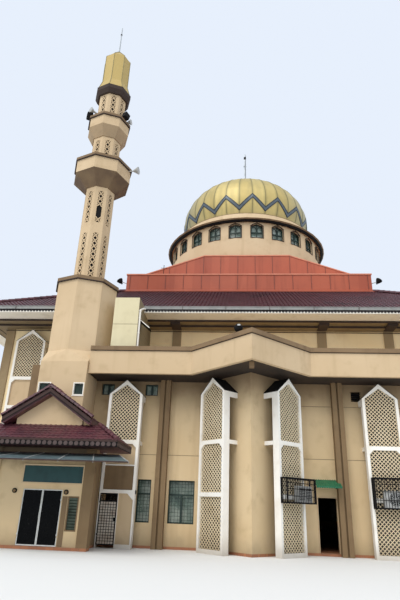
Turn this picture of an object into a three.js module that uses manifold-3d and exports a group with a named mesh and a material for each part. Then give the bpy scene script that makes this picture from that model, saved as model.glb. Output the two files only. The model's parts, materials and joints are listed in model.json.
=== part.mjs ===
// Mosque with a domed prayer hall, a pointed mihrab prow, an octagonal minaret and an entrance porch.
// Millimetres, +Z up. The dome's axis stands on the origin and the front looks towards -Y.
import * as THREE from 'three';
import { ConvexGeometry } from 'three/addons/geometries/ConvexGeometry.js';
import { mergeVertices } from 'three/addons/utils/BufferGeometryUtils.js';
import Module from 'manifold-3d';

const wasm = await Module();
wasm.setup();

// Driving dimensions. Y is counted from the front wall's outer face; domeAxis then moves it to the origin.
const seat = 0.3; // gap between pieces that touch
const domeAxis = 14800;
const floorTop = 100;
const through = 10; // how far a cut runs past the face that it opens

const hall = { half: 12500, front: 2300, wall: 300, soffit: 10030 };
hall.back = 2 * domeAxis - hall.front;
const hallMid = domeAxis;
const bayWidth = (hall.back - hall.front) / 4;

const front = { wall: 250, top: 6620, left: -6810, right: 7600, prow: 1900 };
const canopy = { overhang: 1500, prow: 2450, thick: 200, top: 7780, band: 150, coping: 180, right: 8800 };
const column = { inner: 3420, outer: 3860, depth: 350, end: 7170, rib: 0.42, web: 0.7 };
const pilaster = { width: 440, proud: 80, beam: 195, at: [-3620, 3620, 6850] };

const window1 = { left: -3320, right: -2260, sill: 920, head: 2540 };
const window0 = { left: -4620, right: -4050, sill: 920, head: 2540 };
// Small square windows under the canopy
const hatch = { sill: 6000, head: 6500, width: 560, at: [-6260, -4310] };
const vent = { left: 4280, right: 4680, sill: 5900, head: 6320 };
const sideDoor = { left: -5930, right: -5215, head: 1960 };
const endDoor = { left: 2640, right: 3400, head: 2080 };

// The screens stand off the wall; alongProw runs from the prow's tip to a screen's middle, along the face
const screen = { width: 1420, post: 110, depth: 300, off: 740, band: 150, chamfer: 160, gable: 190 };
screen.low = { foot: 0, low: 1940, mid: 3860, shoulder: 5890, apex: 6500, off: screen.off };
screen.high = { foot: 2900, low: 5650, mid: 7070, shoulder: 9060, apex: 9670, off: 450, width: 1520 };
screen.frontal = 5260;
screen.alongProw = 2190;
screen.wing = -11020;
const hood = { arm: 220, board: 70, ridge: 110 };
const cageAt = {
  prow: { centre: 150, length: 1700, depth: 320, foot: 1800, top: 2690, shift: 250 },
  right: { centre: 0, length: 1300, depth: 350, foot: 1720, top: 2830, shift: 110 },
};
const greenAwning = { left: 2530, right: 3510, out: 750, backZ: 2760, frontZ: 2480, thick: 30 };

const eave = { out: 1900, top: 10330, gutter: 150 };
const tierLower = { half: 7730, bottom: 14100, top: 15360 };
const tierUpper = { half: 6800, top: 17190, corner: 15770, inner: 17040, innerCorner: 15710 };
const drum = { radius: 5900, wall: 250, windows: 24, top: 20450 };
drum.window = { sill: 19150, shoulder: 20080, head: 20300, width: 880 };
const cornice = { lip: 6100, lipFoot: 20330, radius: 6280, edge: 20510, shelf: 20550 };
cornice.ring = { foot: 5750, radius: 5450, top: 21420, inner: 5200, hole: 4300 };
const dome = { radius: 5120, rise: 3920, centre: 23090, base: 21430, shell: 160, gores: 32 };
dome.mastTop = 31230;

const tower = { x: -7820, left: -8840, right: -6810, face: -1650, back: hall.front - seat, wall: 150 };
tower.top = 7200;
tower.windows = [[-8770, -8270], [-7280, -6860]];
tower.sill = 5640;
tower.head = 6130;
tower.door = 2300;
tower.doorHalf = 500;
const pier = { left: -9360, face: -1200, top: 7000 };
const octagon = { base: 1470, baseTop: 11000, coping: 60, copingTop: 11170, shaft: 780, wall: 120 };
octagon.bore = 1200;
octagon.ladder = 600;
octagon.slots = [[11500, 13900], [14500, 16350], [18450, 19650], [21500, 22800]];
const balconyLow = { taper: 16600, band: 17260, top: 18130, radius: 1530 };
const balconyHigh = { taper: 19850, band: 20450, top: 21190, radius: 1160 };
const cap = { bottom: 23050, rim: 980, rimTop: 23370, neck: 770, neckTop: 24060, shoulder: 26050 };
cap.apex = 27010;
cap.mastTop = 29050;

const stair = { left: -6130, right: -4990, face: -900, top: 10300, wall: 180 };

const porch = { centre: -7750, half: 2000, face: -2500, wall: 200, top: 3430, headroom: 1980 };
porch.pier = { width: 380, proud: 60 };
const porchDoor = { left: -8340, right: -6860, gap: 8, leaf: 45, set: 5 };
const louvre = { left: -6620, right: -6230, sill: 620, head: 1760 };
const skirt = { out: 950, eave: 3660, rise: 620, back: -950, thick: 160 };
const gable = { half: 1750, eave: 4480, apex: 5630, front: -2850, thick: 230, wallHalf: 1300 };
const awning = { left: -11380, right: -4120, front: -4400, taper: 770, backZ: 3230, frontZ: 2850, thick: 12 };
const sign = { left: -8420, foot: 2190, top: 2810, thick: 40 };

// Finishes
const finish = {
  cream: [0xd8c29c, 0.85, 0],
  brown: [0x7a6140, 0.8, 0],
  white: [0xe6ddca, 0.7, 0],
  tile: [0x5a3038, 0.6, 0],
  clad: [0xb9623f, 0.5, 0.2],
  gold: [0xc8ae5c, 0.35, 0.7],
  steel: [0x9aa0a4, 0.4, 0.8],
  dark: [0x2a2c2c, 0.5, 0.4],
  glass: [0x53686a, 0.1, 0],
  green: [0x2f6a4a, 0.6, 0],
  board: [0x1d5f5c, 0.6, 0],
  awning: [0x7f95a0, 0.3, 0],
  floor: [0xa9714c, 0.7, 0],
};

const building = new THREE.Group();
building.position.y = -domeAxis;

// Solids from three.js geometries
function solid(geometry) {
  const plain = geometry.index ? geometry.toNonIndexed() : geometry.clone();
  plain.deleteAttribute('normal');
  plain.deleteAttribute('uv');
  const merged = mergeVertices(plain, 1e-3);
  const vertProperties = new Float32Array(merged.attributes.position.array);
  const triVerts = new Uint32Array(merged.index.array);
  return new wasm.Manifold(new wasm.Mesh({ numProp: 3, vertProperties, triVerts }));
}

function geometryOf(shape) {
  const mesh = shape.getMesh();
  const geometry = new THREE.BufferGeometry();
  geometry.setAttribute('position', new THREE.BufferAttribute(mesh.vertProperties, 3));
  geometry.setIndex(new THREE.BufferAttribute(mesh.triVerts, 1));
  geometry.computeVertexNormals();
  return geometry;
}

function join(shapes) {
  return wasm.Manifold.union(shapes);
}

function cut(whole, holes) {
  return holes.reduce((rest, hole) => rest.subtract(hole), whole);
}

function place(name, shape, look) {
  const [color, roughness, metalness] = finish[look];
  const material = new THREE.MeshStandardMaterial({ color, roughness, metalness });
  const mesh = new THREE.Mesh(geometryOf(shape), material);
  mesh.name = name;
  building.add(mesh);
  return mesh;
}

function box(x0, x1, y0, y1, z0, z1) {
  const geometry = new THREE.BoxGeometry(x1 - x0, y1 - y0, z1 - z0);
  geometry.translate((x0 + x1) / 2, (y0 + y1) / 2, (z0 + z1) / 2);
  return solid(geometry);
}

// Outline given a depth, and the same as a plan outline raised from z0 to z1
function extruded(points, depth) {
  const shape = new THREE.Shape(points.map(([across, up]) => new THREE.Vector2(across, up)));
  return new THREE.ExtrudeGeometry(shape, { depth, bevelEnabled: false });
}

function prism(points, z0, z1) {
  const geometry = extruded(points, z1 - z0);
  geometry.translate(0, 0, z0);
  return solid(geometry);
}

// Front view outline, x by z, given depth from y0 to y1
function panel(points, y0, y1, holes = []) {
  const geometry = extruded(points, y1 - y0);
  geometry.rotateX(Math.PI / 2);
  geometry.translate(0, y1, 0);
  const plate = solid(geometry);
  if (!holes.length) {
    return plate;
  }
  return plate.subtract(join(holes.map((hole) => panel(hole, y0 - through, y1 + through))));
}

function hull(points) {
  return solid(new ConvexGeometry(points.map(([x, y, z]) => new THREE.Vector3(x, y, z))));
}

// Profile of radius by height turned about a vertical axis, with a corner towards the front
function turned(profile, sides, x = 0, y = 0) {
  const points = profile.map(([r, z]) => new THREE.Vector2(r, z));
  const geometry = new THREE.LatheGeometry(points, sides);
  geometry.rotateX(Math.PI / 2);
  geometry.translate(x, y, 0);
  return solid(geometry);
}

// A ring's profile, closed on itself
function ringProfile(inner, outer, bottom, top) {
  return [[inner, bottom], [outer, bottom], [outer, top], [inner, top], [inner, bottom]];
}

function rect(x0, x1, z0, z1) {
  return [[x0, z0], [x1, z0], [x1, z1], [x0, z1]];
}

// Lift-off hinges: a knuckle on the jamb carries the leaf's. side is +1 where the leaf lies to the right.
const hinge = { radius: 11, stand: 17, high: 60, plate: 5, reach: 40, clear: 8, at: [450, 1600], sides: 12 };

function knuckles(pivotX, pivotY, side, depth, lift) {
  const strap = [
    [0, -hinge.plate], [side * hinge.reach, -hinge.plate], [side * hinge.reach, depth],
    [side * hinge.clear, depth], [side * hinge.clear, hinge.plate], [0, hinge.plate],
  ].map(([x, y]) => [pivotX + x, pivotY + y]);
  return join(hinge.at.flatMap((at) => {
    const z0 = at + (lift ? seat : -hinge.high);
    const z1 = z0 + hinge.high;
    const barrel = [[0, z0], [hinge.radius, z0], [hinge.radius, z1], [0, z1]];
    const outline = side < 0 ? [...strap].reverse() : strap;
    return [turned(barrel, hinge.sides, pivotX, pivotY), prism(outline, z0 + hinge.clear, z1 - hinge.clear)];
  }));
}

// Floor
const px0 = porch.centre - porch.half;
const px1 = porch.centre + porch.half;
const pin = porch.face + porch.wall;
const pierBack = pin + 120;
const porchSide = px1 - porch.pier.width + 105; // outer face of the porch's right side wall
const pierFront = porch.face - porch.pier.proud;
place('floor_slab', prism([
  [-hall.half, hall.back], [-hall.half, hall.front], [tower.left, hall.front], [tower.left, pier.face - seat],
  [pier.left - seat, pier.face - seat], [pier.left - seat, 0], [px0, 0], [px0, pierFront], [px1, pierFront],
  [px1, pierBack], [porchSide, pierBack], [porchSide, 0], [-front.prow, 0], [0, -front.prow], [front.prow, 0],
  [front.right, 0], [front.right, hall.front], [hall.half, hall.front], [hall.half, hall.back],
], 0, floorTop), 'floor');

// Hall walls
const base = floorTop + seat;
const inFront = hall.front + hall.wall;
const sideWindows = [];
for (let bay = 0; bay < 4; bay++) {
  for (const shift of [-1200, 1200]) {
    sideWindows.push(bay * bayWidth + bayWidth / 2 + shift);
  }
}

function hatchHole(centre) {
  return rect(centre - hatch.width / 2, centre + hatch.width / 2, hatch.sill, hatch.head);
}

function windowHoles(centre) {
  const half = (window1.right - window1.left) / 2;
  return [rect(centre - half, centre + half, window1.sill, window1.head), hatchHole(centre)];
}

function windowedWall(x0, x1, offset) {
  const holes = sideWindows.flatMap((at) => windowHoles(offset + at));
  return panel(rect(x0, x1, base, hall.soffit), 0, hall.wall, holes);
}

// An opening in the hall's front wall, from the floor to z1
function frontOpening(x0, x1, z1) {
  return box(x0, x1, hall.front - through, inFront + through, base - through, z1);
}
const roomOpening = { left: 800, right: 600, drop: 400 };
const wideOpening = frontOpening(
  front.left + roomOpening.left, front.right - roomOpening.right, front.top - roomOpening.drop,
);
const towerDoor = frontOpening(tower.x - tower.doorHalf, tower.x + tower.doorHalf, tower.door);
const hallFront = box(-hall.half, hall.half, hall.front, inFront, base, hall.soffit);
place('hall_wall_front', cut(hallFront, [wideOpening, towerDoor]), 'cream');
const hallBack = windowedWall(-hall.half, hall.half, -hall.half);
place('hall_wall_back', hallBack.translate([0, hall.back - hall.wall, 0]), 'cream');
for (const [name, side] of [['hall_wall_left', -1], ['hall_wall_right', 1]]) {
  const wall = windowedWall(inFront + seat, hall.back - hall.wall - seat, hall.front).rotate([0, 0, 90]);
  const x = side < 0 ? -hall.half + hall.wall : hall.half;
  place(name, wall.translate([x, 0, 0]), 'cream');
}

// Brown beam and pilasters round the hall
const proud = hall.half + pilaster.proud;
const skin = hall.half + seat;
const beamBottom = hall.soffit - pilaster.beam;
const frameParts = [cut(
  box(-proud, proud, hall.front - pilaster.proud, hall.back + pilaster.proud, beamBottom, hall.soffit),
  [box(-skin, skin, hall.front - seat, hall.back + seat, beamBottom - through, hall.soffit + through)],
)];
const half = pilaster.width / 2;
const post = proud - 12; // the pilasters stand back a little from the beam's face
const canopyRoof = front.top + canopy.thick + seat;
function standing(x0, x1, y0, y1, z0) {
  frameParts.push(box(x0, x1, y0, y1, z0, beamBottom + 20));
}
for (const at of pilaster.at) {
  standing(at - half, at + half, hallMid - post, hall.front - seat, canopyRoof);
}
for (let bay = 0; bay <= 4; bay++) {
  const along = -hall.half + bay * bayWidth;
  const x0 = Math.max(along - half, -post);
  const x1 = Math.min(along + half, post);
  standing(-post, -skin, hallMid + x0, hallMid + x1, 0);
  standing(skin, post, hallMid + x0, hallMid + x1, 0);
  standing(x0, x1, hall.back + seat, hallMid + post, 0);
}
standing(-post, -post + pilaster.width, hallMid - post, hall.front - seat, 0);
standing(post - pilaster.width, post, hallMid - post, hall.front - seat, 0);
place('hall_beam_and_pilasters', join(frameParts), 'brown');

// Front walls and the prow
const frontTop = front.top - seat;
const leftHoles = [window0, window1].map((w) => rect(w.left, w.right, w.sill, w.head));
leftHoles.push(hatchHole(hatch.at[1]));
const leftOutline = rect(sideDoor.right + seat, -front.prow - seat, base, frontTop);
place('front_wall_left', panel(leftOutline, 0, front.wall, leftHoles), 'cream');
const headOutline = [
  [front.left + seat, base], [sideDoor.left, base], [sideDoor.left, sideDoor.head],
  [sideDoor.right, sideDoor.head], [sideDoor.right, frontTop], [front.left + seat, frontTop],
];
place('front_wall_over_side_door', panel(headOutline, 0, front.wall, [hatchHole(hatch.at[0])]), 'cream');
const rightOutline = [
  [front.prow + seat, base], [endDoor.left, base], [endDoor.left, endDoor.head],
  [endDoor.right, endDoor.head], [endDoor.right, base], [front.right, base], [front.right, frontTop],
  [front.prow + seat, frontTop],
];
const ventHole = rect(vent.left, vent.right, vent.sill, vent.head);
place('front_wall_right', panel(rightOutline, 0, front.wall, [ventHole]), 'cream');
const inner = front.prow - front.wall * Math.SQRT2;
const prowPlan = [
  [-front.prow, front.wall], [-front.prow, 0], [0, -front.prow], [front.prow, 0], [front.prow, front.wall],
  [inner + front.wall, front.wall], [0, -inner], [-inner - front.wall, front.wall],
];
place('prow_wall', prism(prowPlan, base, frontTop), 'cream');
const endBack = hall.front - seat;
const endWall = box(front.right - front.wall, front.right, front.wall + seat, endBack, base, frontTop);
place('front_end_wall', endWall, 'cream');

// Canopy with its parapet and coping
const reach = canopy.overhang;
const tip = reach + canopy.prow;
const canopyLeft = front.left + 20;
const canopyPlan = [
  [canopyLeft, -reach], [-canopy.prow, -reach], [0, -tip], [canopy.prow, -reach], [canopy.right, -reach],
  [canopy.right, endBack], [canopyLeft, endBack],
];

function offsetEdge(by) {
  const kink = by * Math.tan(Math.PI / 8);
  return [
    [canopyLeft, -reach - by], [-canopy.prow - kink, -reach - by], [0, -tip - by * Math.SQRT2],
    [canopy.prow + kink, -reach - by], [canopy.right + by, -reach - by], [canopy.right + by, endBack],
  ];
}

function edgeBand(outer, within, z0, z1) {
  return prism([...offsetEdge(outer), ...offsetEdge(within).reverse()], z0, z1);
}
const copingBottom = canopy.top - canopy.coping;
const canopySlab = prism(canopyPlan, front.top, front.top + canopy.thick);
place('canopy', canopySlab.add(edgeBand(0, -canopy.band, front.top, copingBottom - seat)), 'cream');
place('canopy_coping', edgeBand(60, -canopy.band - 60, copingBottom, canopy.top), 'brown');

// Ribbed brown columns, each a pair of shafts joined by a web
function columnPair(name, x0, x1) {
  const rib = (x1 - x0) * column.rib;
  const web = column.depth * column.web;
  const plan = [
    [x0, -seat], [x0, -column.depth], [x0 + rib, -column.depth], [x0 + rib, -web],
    [x1 - rib, -web], [x1 - rib, -column.depth], [x1, -column.depth], [x1, -seat],
  ];
  place(name, prism(plan, 0, frontTop), 'brown');
}
columnPair('column_left', -column.outer, -column.inner);
columnPair('column_right', column.inner, column.outer);
columnPair('column_end', column.end, column.end + column.outer - column.inner);

// Lattice screens: frame, bands, lattice, gabled hood and braces back to the wall
const lattice = { pitch: 360, bar: 95, thick: 60, inset: 60 };

function houseOutline(w, foot, shoulder, apex) {
  return [[-w, foot], [w, foot], [w, shoulder], [0, apex], [-w, shoulder]];
}

function diamond(x, z, r) {
  return [[x - r, z], [x, z - r], [x + r, z], [x, z + r]];
}

// Diamond holes in rows between z0 and z1, with rows above z1 where the gable leaves room for them
function latticeHoles(w, z0, z1, gable = 0) {
  const r = (lattice.pitch - lattice.bar * Math.SQRT2) / 2;
  const columns = Math.floor((2 * w) / lattice.pitch);
  const holes = [];
  for (let row = 0; z0 + (lattice.pitch * (row + 1)) / 2 + r <= z1 + gable; row++) {
    const z = z0 + (lattice.pitch * (row + 1)) / 2;
    const count = columns - (row % 2);
    for (let i = 0; i < count; i++) {
      const x = lattice.pitch * (i - (count - 1) / 2);
      const limit = gable ? z1 + gable * (1 - Math.abs(x) / w) - r / 2 : z1;
      if (z + r <= limit) {
        holes.push(diamond(x, z, r));
      }
    }
  }
  return holes;
}

function screenShape({ foot, low, mid, shoulder, apex, off, width = screen.width }) {
  const w = width / 2;
  const inset = w - screen.post;
  const { band, chamfer, gable } = screen;
  const openings = [
    [[-inset, mid + band], [inset, mid + band], [inset, shoulder], [0, apex - gable], [-inset, shoulder]],
    [
      [-inset, low + band], [inset, low + band], [inset, mid - chamfer], [inset - chamfer, mid],
      [chamfer - inset, mid], [-inset, mid - chamfer],
    ],
    rect(-inset, inset, foot + band, low),
  ];
  const frame = panel(houseOutline(w, foot, shoulder, apex), -off, screen.depth - off, openings);
  const sheetFace = lattice.inset - off;
  const sheetOutline = houseOutline(w - 20, foot + 20, shoulder - 5, apex - 25);
  const sheet = panel(sheetOutline, sheetFace, sheetFace + lattice.thick, [
    ...latticeHoles(inset, mid + band, shoulder, apex - gable - shoulder),
    ...latticeHoles(inset, low + band, mid),
    ...latticeHoles(inset, foot + band, low),
  ]);
  const arm = w - hood.board;
  const hoodBack = panel([
    [-w, shoulder - hood.arm], [-arm, shoulder - hood.arm], [-arm, shoulder - 40], [0, apex - hood.ridge],
    [arm, shoulder - 40], [arm, shoulder - hood.arm], [w, shoulder - hood.arm], [w, shoulder], [0, apex],
    [-w, shoulder],
  ], screen.depth - off - 5, -seat);
  const braces = [-w, arm].map((x) => box(x, x + hood.board, screen.depth - off - 5, -seat, mid, mid + band));
  return join([frame, sheet, hoodBack, ...braces]);
}
place('screen_right', screenShape(screen.low).translate([screen.frontal, 0, 0]), 'white');
const along = (screen.alongProw - screen.off) / Math.SQRT2;
for (const [name, side] of [['screen_prow_left', -1], ['screen_prow_right', 1]]) {
  const shape = screenShape(screen.low).rotate([0, 0, 45 * side]);
  place(name, shape.translate([side * along, along - front.prow, 0]), 'white');
}
place('screen_wing', screenShape(screen.high).translate([screen.wing, hall.front, 0]), 'white');

// The entrance screen holds the side door, so its lower part is a doorway
const sx = -screen.frontal - screen.width / 2;
const headTop = screen.low.low + screen.band / 2;
const screenBack = screen.depth - screen.off;
const clearOf = 500;
const doorZone = box(
  sx - clearOf, sx + screen.width + clearOf, -screen.off - clearOf, screen.depth, -through, headTop,
);
const entrance = screenShape(screen.low).translate([-screen.frontal, 0, 0]);
const jambs = [
  box(sx, sideDoor.left, -screen.off, screenBack, 0, headTop + 15),
  box(sideDoor.right, sx + screen.width, -screen.off, screenBack, 0, headTop + 15),
  box(sx, sx + screen.width, -screen.off, screenBack, sideDoor.head, headTop + 15),
];
const sideHinge = { x: sideDoor.left + 4, y: -screen.off - hinge.stand };
const sideKnuckles = knuckles(sideHinge.x, sideHinge.y, -1, hinge.stand + 1, false);
place('screen_entrance', join([entrance.subtract(doorZone), ...jambs, sideKnuckles]), 'white');
const grille = { bar: 22, frame: 46, rows: 9, columns: 5, clear: 8, foot: 110, set: 2, thick: 25 };
const leafLeft = sideDoor.left + grille.clear;
const leafRight = sideDoor.right - grille.clear;
const leafTop = sideDoor.head - grille.clear;
const cellWide = (leafRight - leafLeft - 2 * grille.frame + grille.bar) / grille.columns;
const cellHigh = (leafTop - grille.foot - 2 * grille.frame + grille.bar) / grille.rows;
const cells = [];
for (let i = 0; i < grille.columns; i++) {
  for (let k = 0; k < grille.rows; k++) {
    const x = leafLeft + grille.frame + i * cellWide;
    const z = grille.foot + grille.frame + k * cellHigh;
    cells.push(rect(x, x + cellWide - grille.bar, z, z + cellHigh - grille.bar));
  }
}
const grilleFace = grille.set - screen.off;
const leafOutline = rect(leafLeft, leafRight, grille.foot, leafTop);
const leaf = panel(leafOutline, grilleFace, grilleFace + grille.thick, cells);
const leafKnuckles = knuckles(sideHinge.x, sideHinge.y, 1, hinge.stand + grille.set + 1, true);
place('side_door_grille', leaf.add(leafKnuckles), 'white');

// Air conditioner cages and the little green awning, notched round the column
const cageBar = { size: 40, upright: 20, spacing: 400, tray: 20, lap: 5 };
const conditioner = { half: 400, high: 600, face: 40, back: 60 };

function cage({ centre, length, depth, foot, top, shift }) {
  const { size, upright, lap } = cageBar;
  const h = length / 2;
  const whole = box(-h, h, -depth, -seat, foot, top);
  const hollow = [
    box(-h - through, h + through, size - depth, -size, foot + size, top - size),
    box(size - h, h - size, -depth - through, through, foot + size, top - size),
    box(size - h, h - size, size - depth, -size, foot - through, top + through),
  ];
  const spaces = Math.round(length / cageBar.spacing);
  const uprights = [];
  for (let i = 1; i < spaces; i++) {
    const x = (length * i) / spaces - h;
    uprights.push(box(x - upright / 2, x + upright / 2, -depth, upright - depth, foot + lap, top - lap));
  }
  const trayTop = foot + lap + cageBar.tray;
  const tray = box(lap - h, h - lap, lap - depth, -lap, foot + lap, trayTop);
  const { half: wide, high, face, back } = conditioner;
  const unit = box(shift - wide, shift + wide, face - depth, -back, trayTop - lap, trayTop - lap + high);
  return join([cut(whole, hollow), ...uprights, tray, unit]).translate([centre, -screen.off, 0]);
}
place('cage_prow', cage(cageAt.prow).rotate([0, 0, 45]).translate([along, along - front.prow, 0]), 'dark');
place('cage_right', cage(cageAt.right).translate([screen.frontal, 0, 0]), 'dark');

// A thin sheet between a back edge and a front edge, each [x0, x1, y, top]
function slopedSheet(backEdge, frontEdge, thick) {
  return hull([backEdge, frontEdge].flatMap(([x0, x1, y, top]) => [
    [x0, y, top], [x1, y, top], [x0, y, top - thick], [x1, y, top - thick],
  ]));
}
const green = greenAwning;
place('awning_green', slopedSheet(
  [green.left, green.right, -seat, green.backZ],
  [green.left, green.right, -green.out, green.frontZ],
  green.thick,
).subtract(box(
  column.inner - seat, column.outer, -column.depth - seat, through, green.frontZ - clearOf,
  green.backZ + clearOf,
)), 'green');

// Main hipped roof as a shell, open in the middle
function squareRing(out, z) {
  const near = hallMid - out;
  const far = hallMid + out;
  return [[-out, near, z], [out, near, z], [out, far, z], [-out, far, z]];
}

function squareBox(outer, z0, z1) {
  return box(-outer, outer, hallMid - outer, hallMid + outer, z0, z1);
}

// Profile of a solid round or many-sided shaft
function shaftProfile(radius, z0, z1) {
  return [[0, z0], [radius, z0], [radius, z1], [0, z1]];
}
const eaveHalf = hall.half + eave.out;
const roofThick = 240;
const slopeOuter = hull([...squareRing(eaveHalf, eave.top), ...squareRing(tierLower.half, tierLower.bottom)]);
const slopeInner = hull([
  ...squareRing(eaveHalf, eave.top - roofThick), ...squareRing(tierLower.half, tierLower.bottom - roofThick),
  ...squareRing(eaveHalf - 300, eave.top - roofThick - 600),
]);
const wellHalf = tierLower.half - 500;
const well = squareBox(wellHalf, front.top, tierLower.top);
const eaveFoot = squareBox(eaveHalf, eave.top - roofThick, eave.top);
const roofShell = cut(join([slopeOuter, eaveFoot]), [slopeInner, well]);
const notchTop = octagon.copingTop + 2000;
const towerNotch = turned(shaftProfile(octagon.base + seat, canopy.top, notchTop), 8, tower.x, 0);
place('main_roof', roofShell.subtract(towerNotch), 'tile');

// Eave: soffit boards with two steps and a gutter
function ringBox(outer, inner, z0, z1) {
  return squareBox(outer, z0, z1).subtract(squareBox(inner, z0 - through, z1 + through));
}
const gutterHalf = eaveHalf + 120;
place('eave_soffit', join([
  ringBox(gutterHalf, hall.half - hall.wall, hall.soffit + seat, eave.top - roofThick - seat),
  ringBox(gutterHalf, eaveHalf + seat, hall.soffit + seat, eave.top - 20),
]).subtract(towerNotch), 'white');

// Clad tiers below the drum: a square one, then a square one whose top is an octagon
const tierWall = 150;
const tierHole = { lower: 5300, upper: 5500, sides: 24 };
place('tier_lower', cut(squareBox(tierLower.half, tierLower.bottom + seat, tierLower.top), [
  squareBox(tierLower.half - tierWall, tierLower.bottom, tierLower.top - tierWall),
  turned(shaftProfile(tierHole.lower, tierLower.bottom, tierLower.top + through), tierHole.sides, 0, hallMid),
]), 'clad');

function octagonTopped(halfSide, foot, corner, top) {
  const face = halfSide * Math.tan(Math.PI / 8);
  const flat = [-1, 1].flatMap((a) => [-1, 1].flatMap((b) => [
    [a * face, hallMid + b * halfSide, top], [a * halfSide, hallMid + b * face, top],
  ]));
  return hull([...squareRing(halfSide, foot), ...squareRing(halfSide, corner), ...flat]);
}
const upperFoot = tierLower.top + seat;
const upperHole = shaftProfile(tierHole.upper, tierUpper.inner - through, tierUpper.top + through);
place('tier_upper', cut(octagonTopped(tierUpper.half, upperFoot, tierUpper.corner, tierUpper.top), [
  octagonTopped(tierUpper.half - tierWall, upperFoot - through, tierUpper.innerCorner, tierUpper.inner),
  turned(upperHole, tierHole.sides, 0, hallMid),
]), 'clad');

// Drum with its ring of pointed windows, in two halves
const drumSides = drum.windows * 2;
const drumFoot = tierUpper.top + seat;
const drumTop = drum.top - seat;
const drumInner = drum.radius - drum.wall;
const drumRing = turned(ringProfile(drumInner, drum.radius, drumFoot, drumTop), drumSides, 0, hallMid);
const arch = drum.window;
const archHalf = arch.width / 2;
const arched = [
  [-archHalf, arch.sill], [archHalf, arch.sill], [archHalf, arch.shoulder], [archHalf * 0.6, arch.head - 110],
  [0, arch.head], [-archHalf * 0.6, arch.head - 110], [-archHalf, arch.shoulder],
];
const drumHole = panel(arched, -drum.radius - through, drum.wall + 100 - drum.radius);
const drumHoles = [];
for (let i = 0; i < drum.windows; i++) {
  const turnBy = ((i + 0.5) * 360) / drum.windows;
  drumHoles.push(drumHole.rotate([0, 0, turnBy]).translate([0, hallMid, 0]));
}
const drumWall = drumRing.subtract(join(drumHoles));
const around = drum.radius + 1000;
const frontHalf = box(-around, around, hallMid - around, hallMid - seat / 2, drumFoot - 100, drumTop + 100);
const backHalf = box(-around, around, hallMid + seat / 2, hallMid + around, drumFoot - 100, drumTop + 100);
place('drum_wall_front', drumWall.intersect(frontHalf), 'cream');
place('drum_wall_back', drumWall.intersect(backHalf), 'cream');
const glassOut = drumInner * Math.cos(Math.PI / drumSides) - 5;
const glassRing = ringProfile(glassOut - 20, glassOut, drumFoot, drumTop);
place('drum_glass', turned(glassRing, drumSides, 0, hallMid), 'glass');

// Cornice with a lip below its edge, and the low ring wall that the dome springs from
const { ring } = cornice;
place('drum_cornice', turned([
  [ring.inner, drum.top], [drum.radius + 50, drum.top], [cornice.lip, cornice.lipFoot],
  [cornice.radius, cornice.edge], [ring.foot, cornice.shelf], [ring.radius, ring.top], [ring.hole, ring.top],
  [ring.hole, ring.top - 120], [ring.inner, ring.top - 200], [ring.inner, drum.top],
], drumSides, 0, hallMid), 'cream');

// Dome shell
function domeProfile(shrink) {
  const points = [];
  const low = Math.asin((dome.base - dome.centre) / dome.rise);
  const steps = 12;
  for (let i = 0; i <= steps; i++) {
    const angle = low + ((Math.PI / 2 - low) * i) / steps;
    const r = i === steps ? 0 : (dome.radius - shrink) * Math.cos(angle);
    points.push([r, dome.centre + (dome.rise - shrink) * Math.sin(angle)]);
  }
  return points;
}
const domeOuter = domeProfile(0);
const domeInner = domeProfile(dome.shell).reverse();
domeOuter[0][1] = ring.top + seat;
domeInner[domeInner.length - 1][1] = ring.top + seat;
const shell = turned([...domeOuter, ...domeInner, domeOuter[0]], dome.gores);
place('dome', shell.rotate([0, 0, 180 / dome.gores]).translate([0, hallMid, 0]), 'gold');
const domeTop = dome.centre + dome.rise + seat;
place('dome_finial', turned([
  [0, domeTop], [260, domeTop], [200, domeTop + 220], [70, domeTop + 420], [60, dome.mastTop - 1500],
  [130, dome.mastTop - 1380], [60, dome.mastTop - 1260], [25, dome.mastTop], [0, dome.mastTop],
], 12, 0, hallMid), 'steel');

// Minaret: block, pier, octagonal base, shaft, balconies, cap
const blockTop = tower.top - 150;
const towerInner = { left: tower.left + tower.wall, right: tower.right - tower.wall };
const faceHoles = [tower.face - through, tower.face + tower.wall + through];
const backHoles = [tower.back - tower.wall - through, tower.back + through];
const doorLeft = tower.left + 300;
const doorRight = tower.right - 300;
place('minaret_block', cut(box(tower.left, tower.right, tower.face, tower.back, base, blockTop), [
  box(
    towerInner.left, towerInner.right, tower.face + tower.wall, tower.back - tower.wall,
    base - through, blockTop - tower.wall,
  ),
  ...tower.windows.map(([x0, x1]) => box(x0, x1, ...faceHoles, tower.sill, tower.head)),
  box(doorLeft, doorRight, ...faceHoles, base - through, tower.door),
  box(doorLeft, doorRight, ...backHoles, base - through, tower.door),
]), 'cream');
place('minaret_side_pier', box(pier.left, tower.left - seat, pier.face, tower.back, 0, pier.top), 'brown');

const spread = { foot: blockTop + seat, top: tower.top + 450 };
const blockCorners = [tower.left, tower.right].flatMap((x) => [tower.face, tower.back].map((y) => [x, y]));
const octagonCorners = [0, 1, 2, 3, 4, 5, 6, 7].map((k) => {
  const turn = (k * Math.PI) / 4;
  return [tower.x + octagon.base * Math.sin(turn), octagon.base * Math.cos(turn)];
});
const { base: baseRadius, coping: baseCoping, baseTop, copingTop, bore, ladder } = octagon;
const baseShape = join([
  hull([
    ...blockCorners.map(([x, y]) => [x, y, spread.foot]),
    ...octagonCorners.map(([x, y]) => [x, y, spread.top]),
  ]),
  turned([
    [0, spread.top - 50], [baseRadius, spread.top - 50], [baseRadius, baseTop],
    [baseRadius + baseCoping, baseTop], [baseRadius + baseCoping, copingTop], [0, copingTop],
  ], 8, tower.x, 0),
]);
const baseBore = turned(shaftProfile(bore, spread.top + 50, copingTop - 200), 8, tower.x, 0);
const baseWell = turned(shaftProfile(ladder, 6000, copingTop + through), 8, tower.x, 0);
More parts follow.
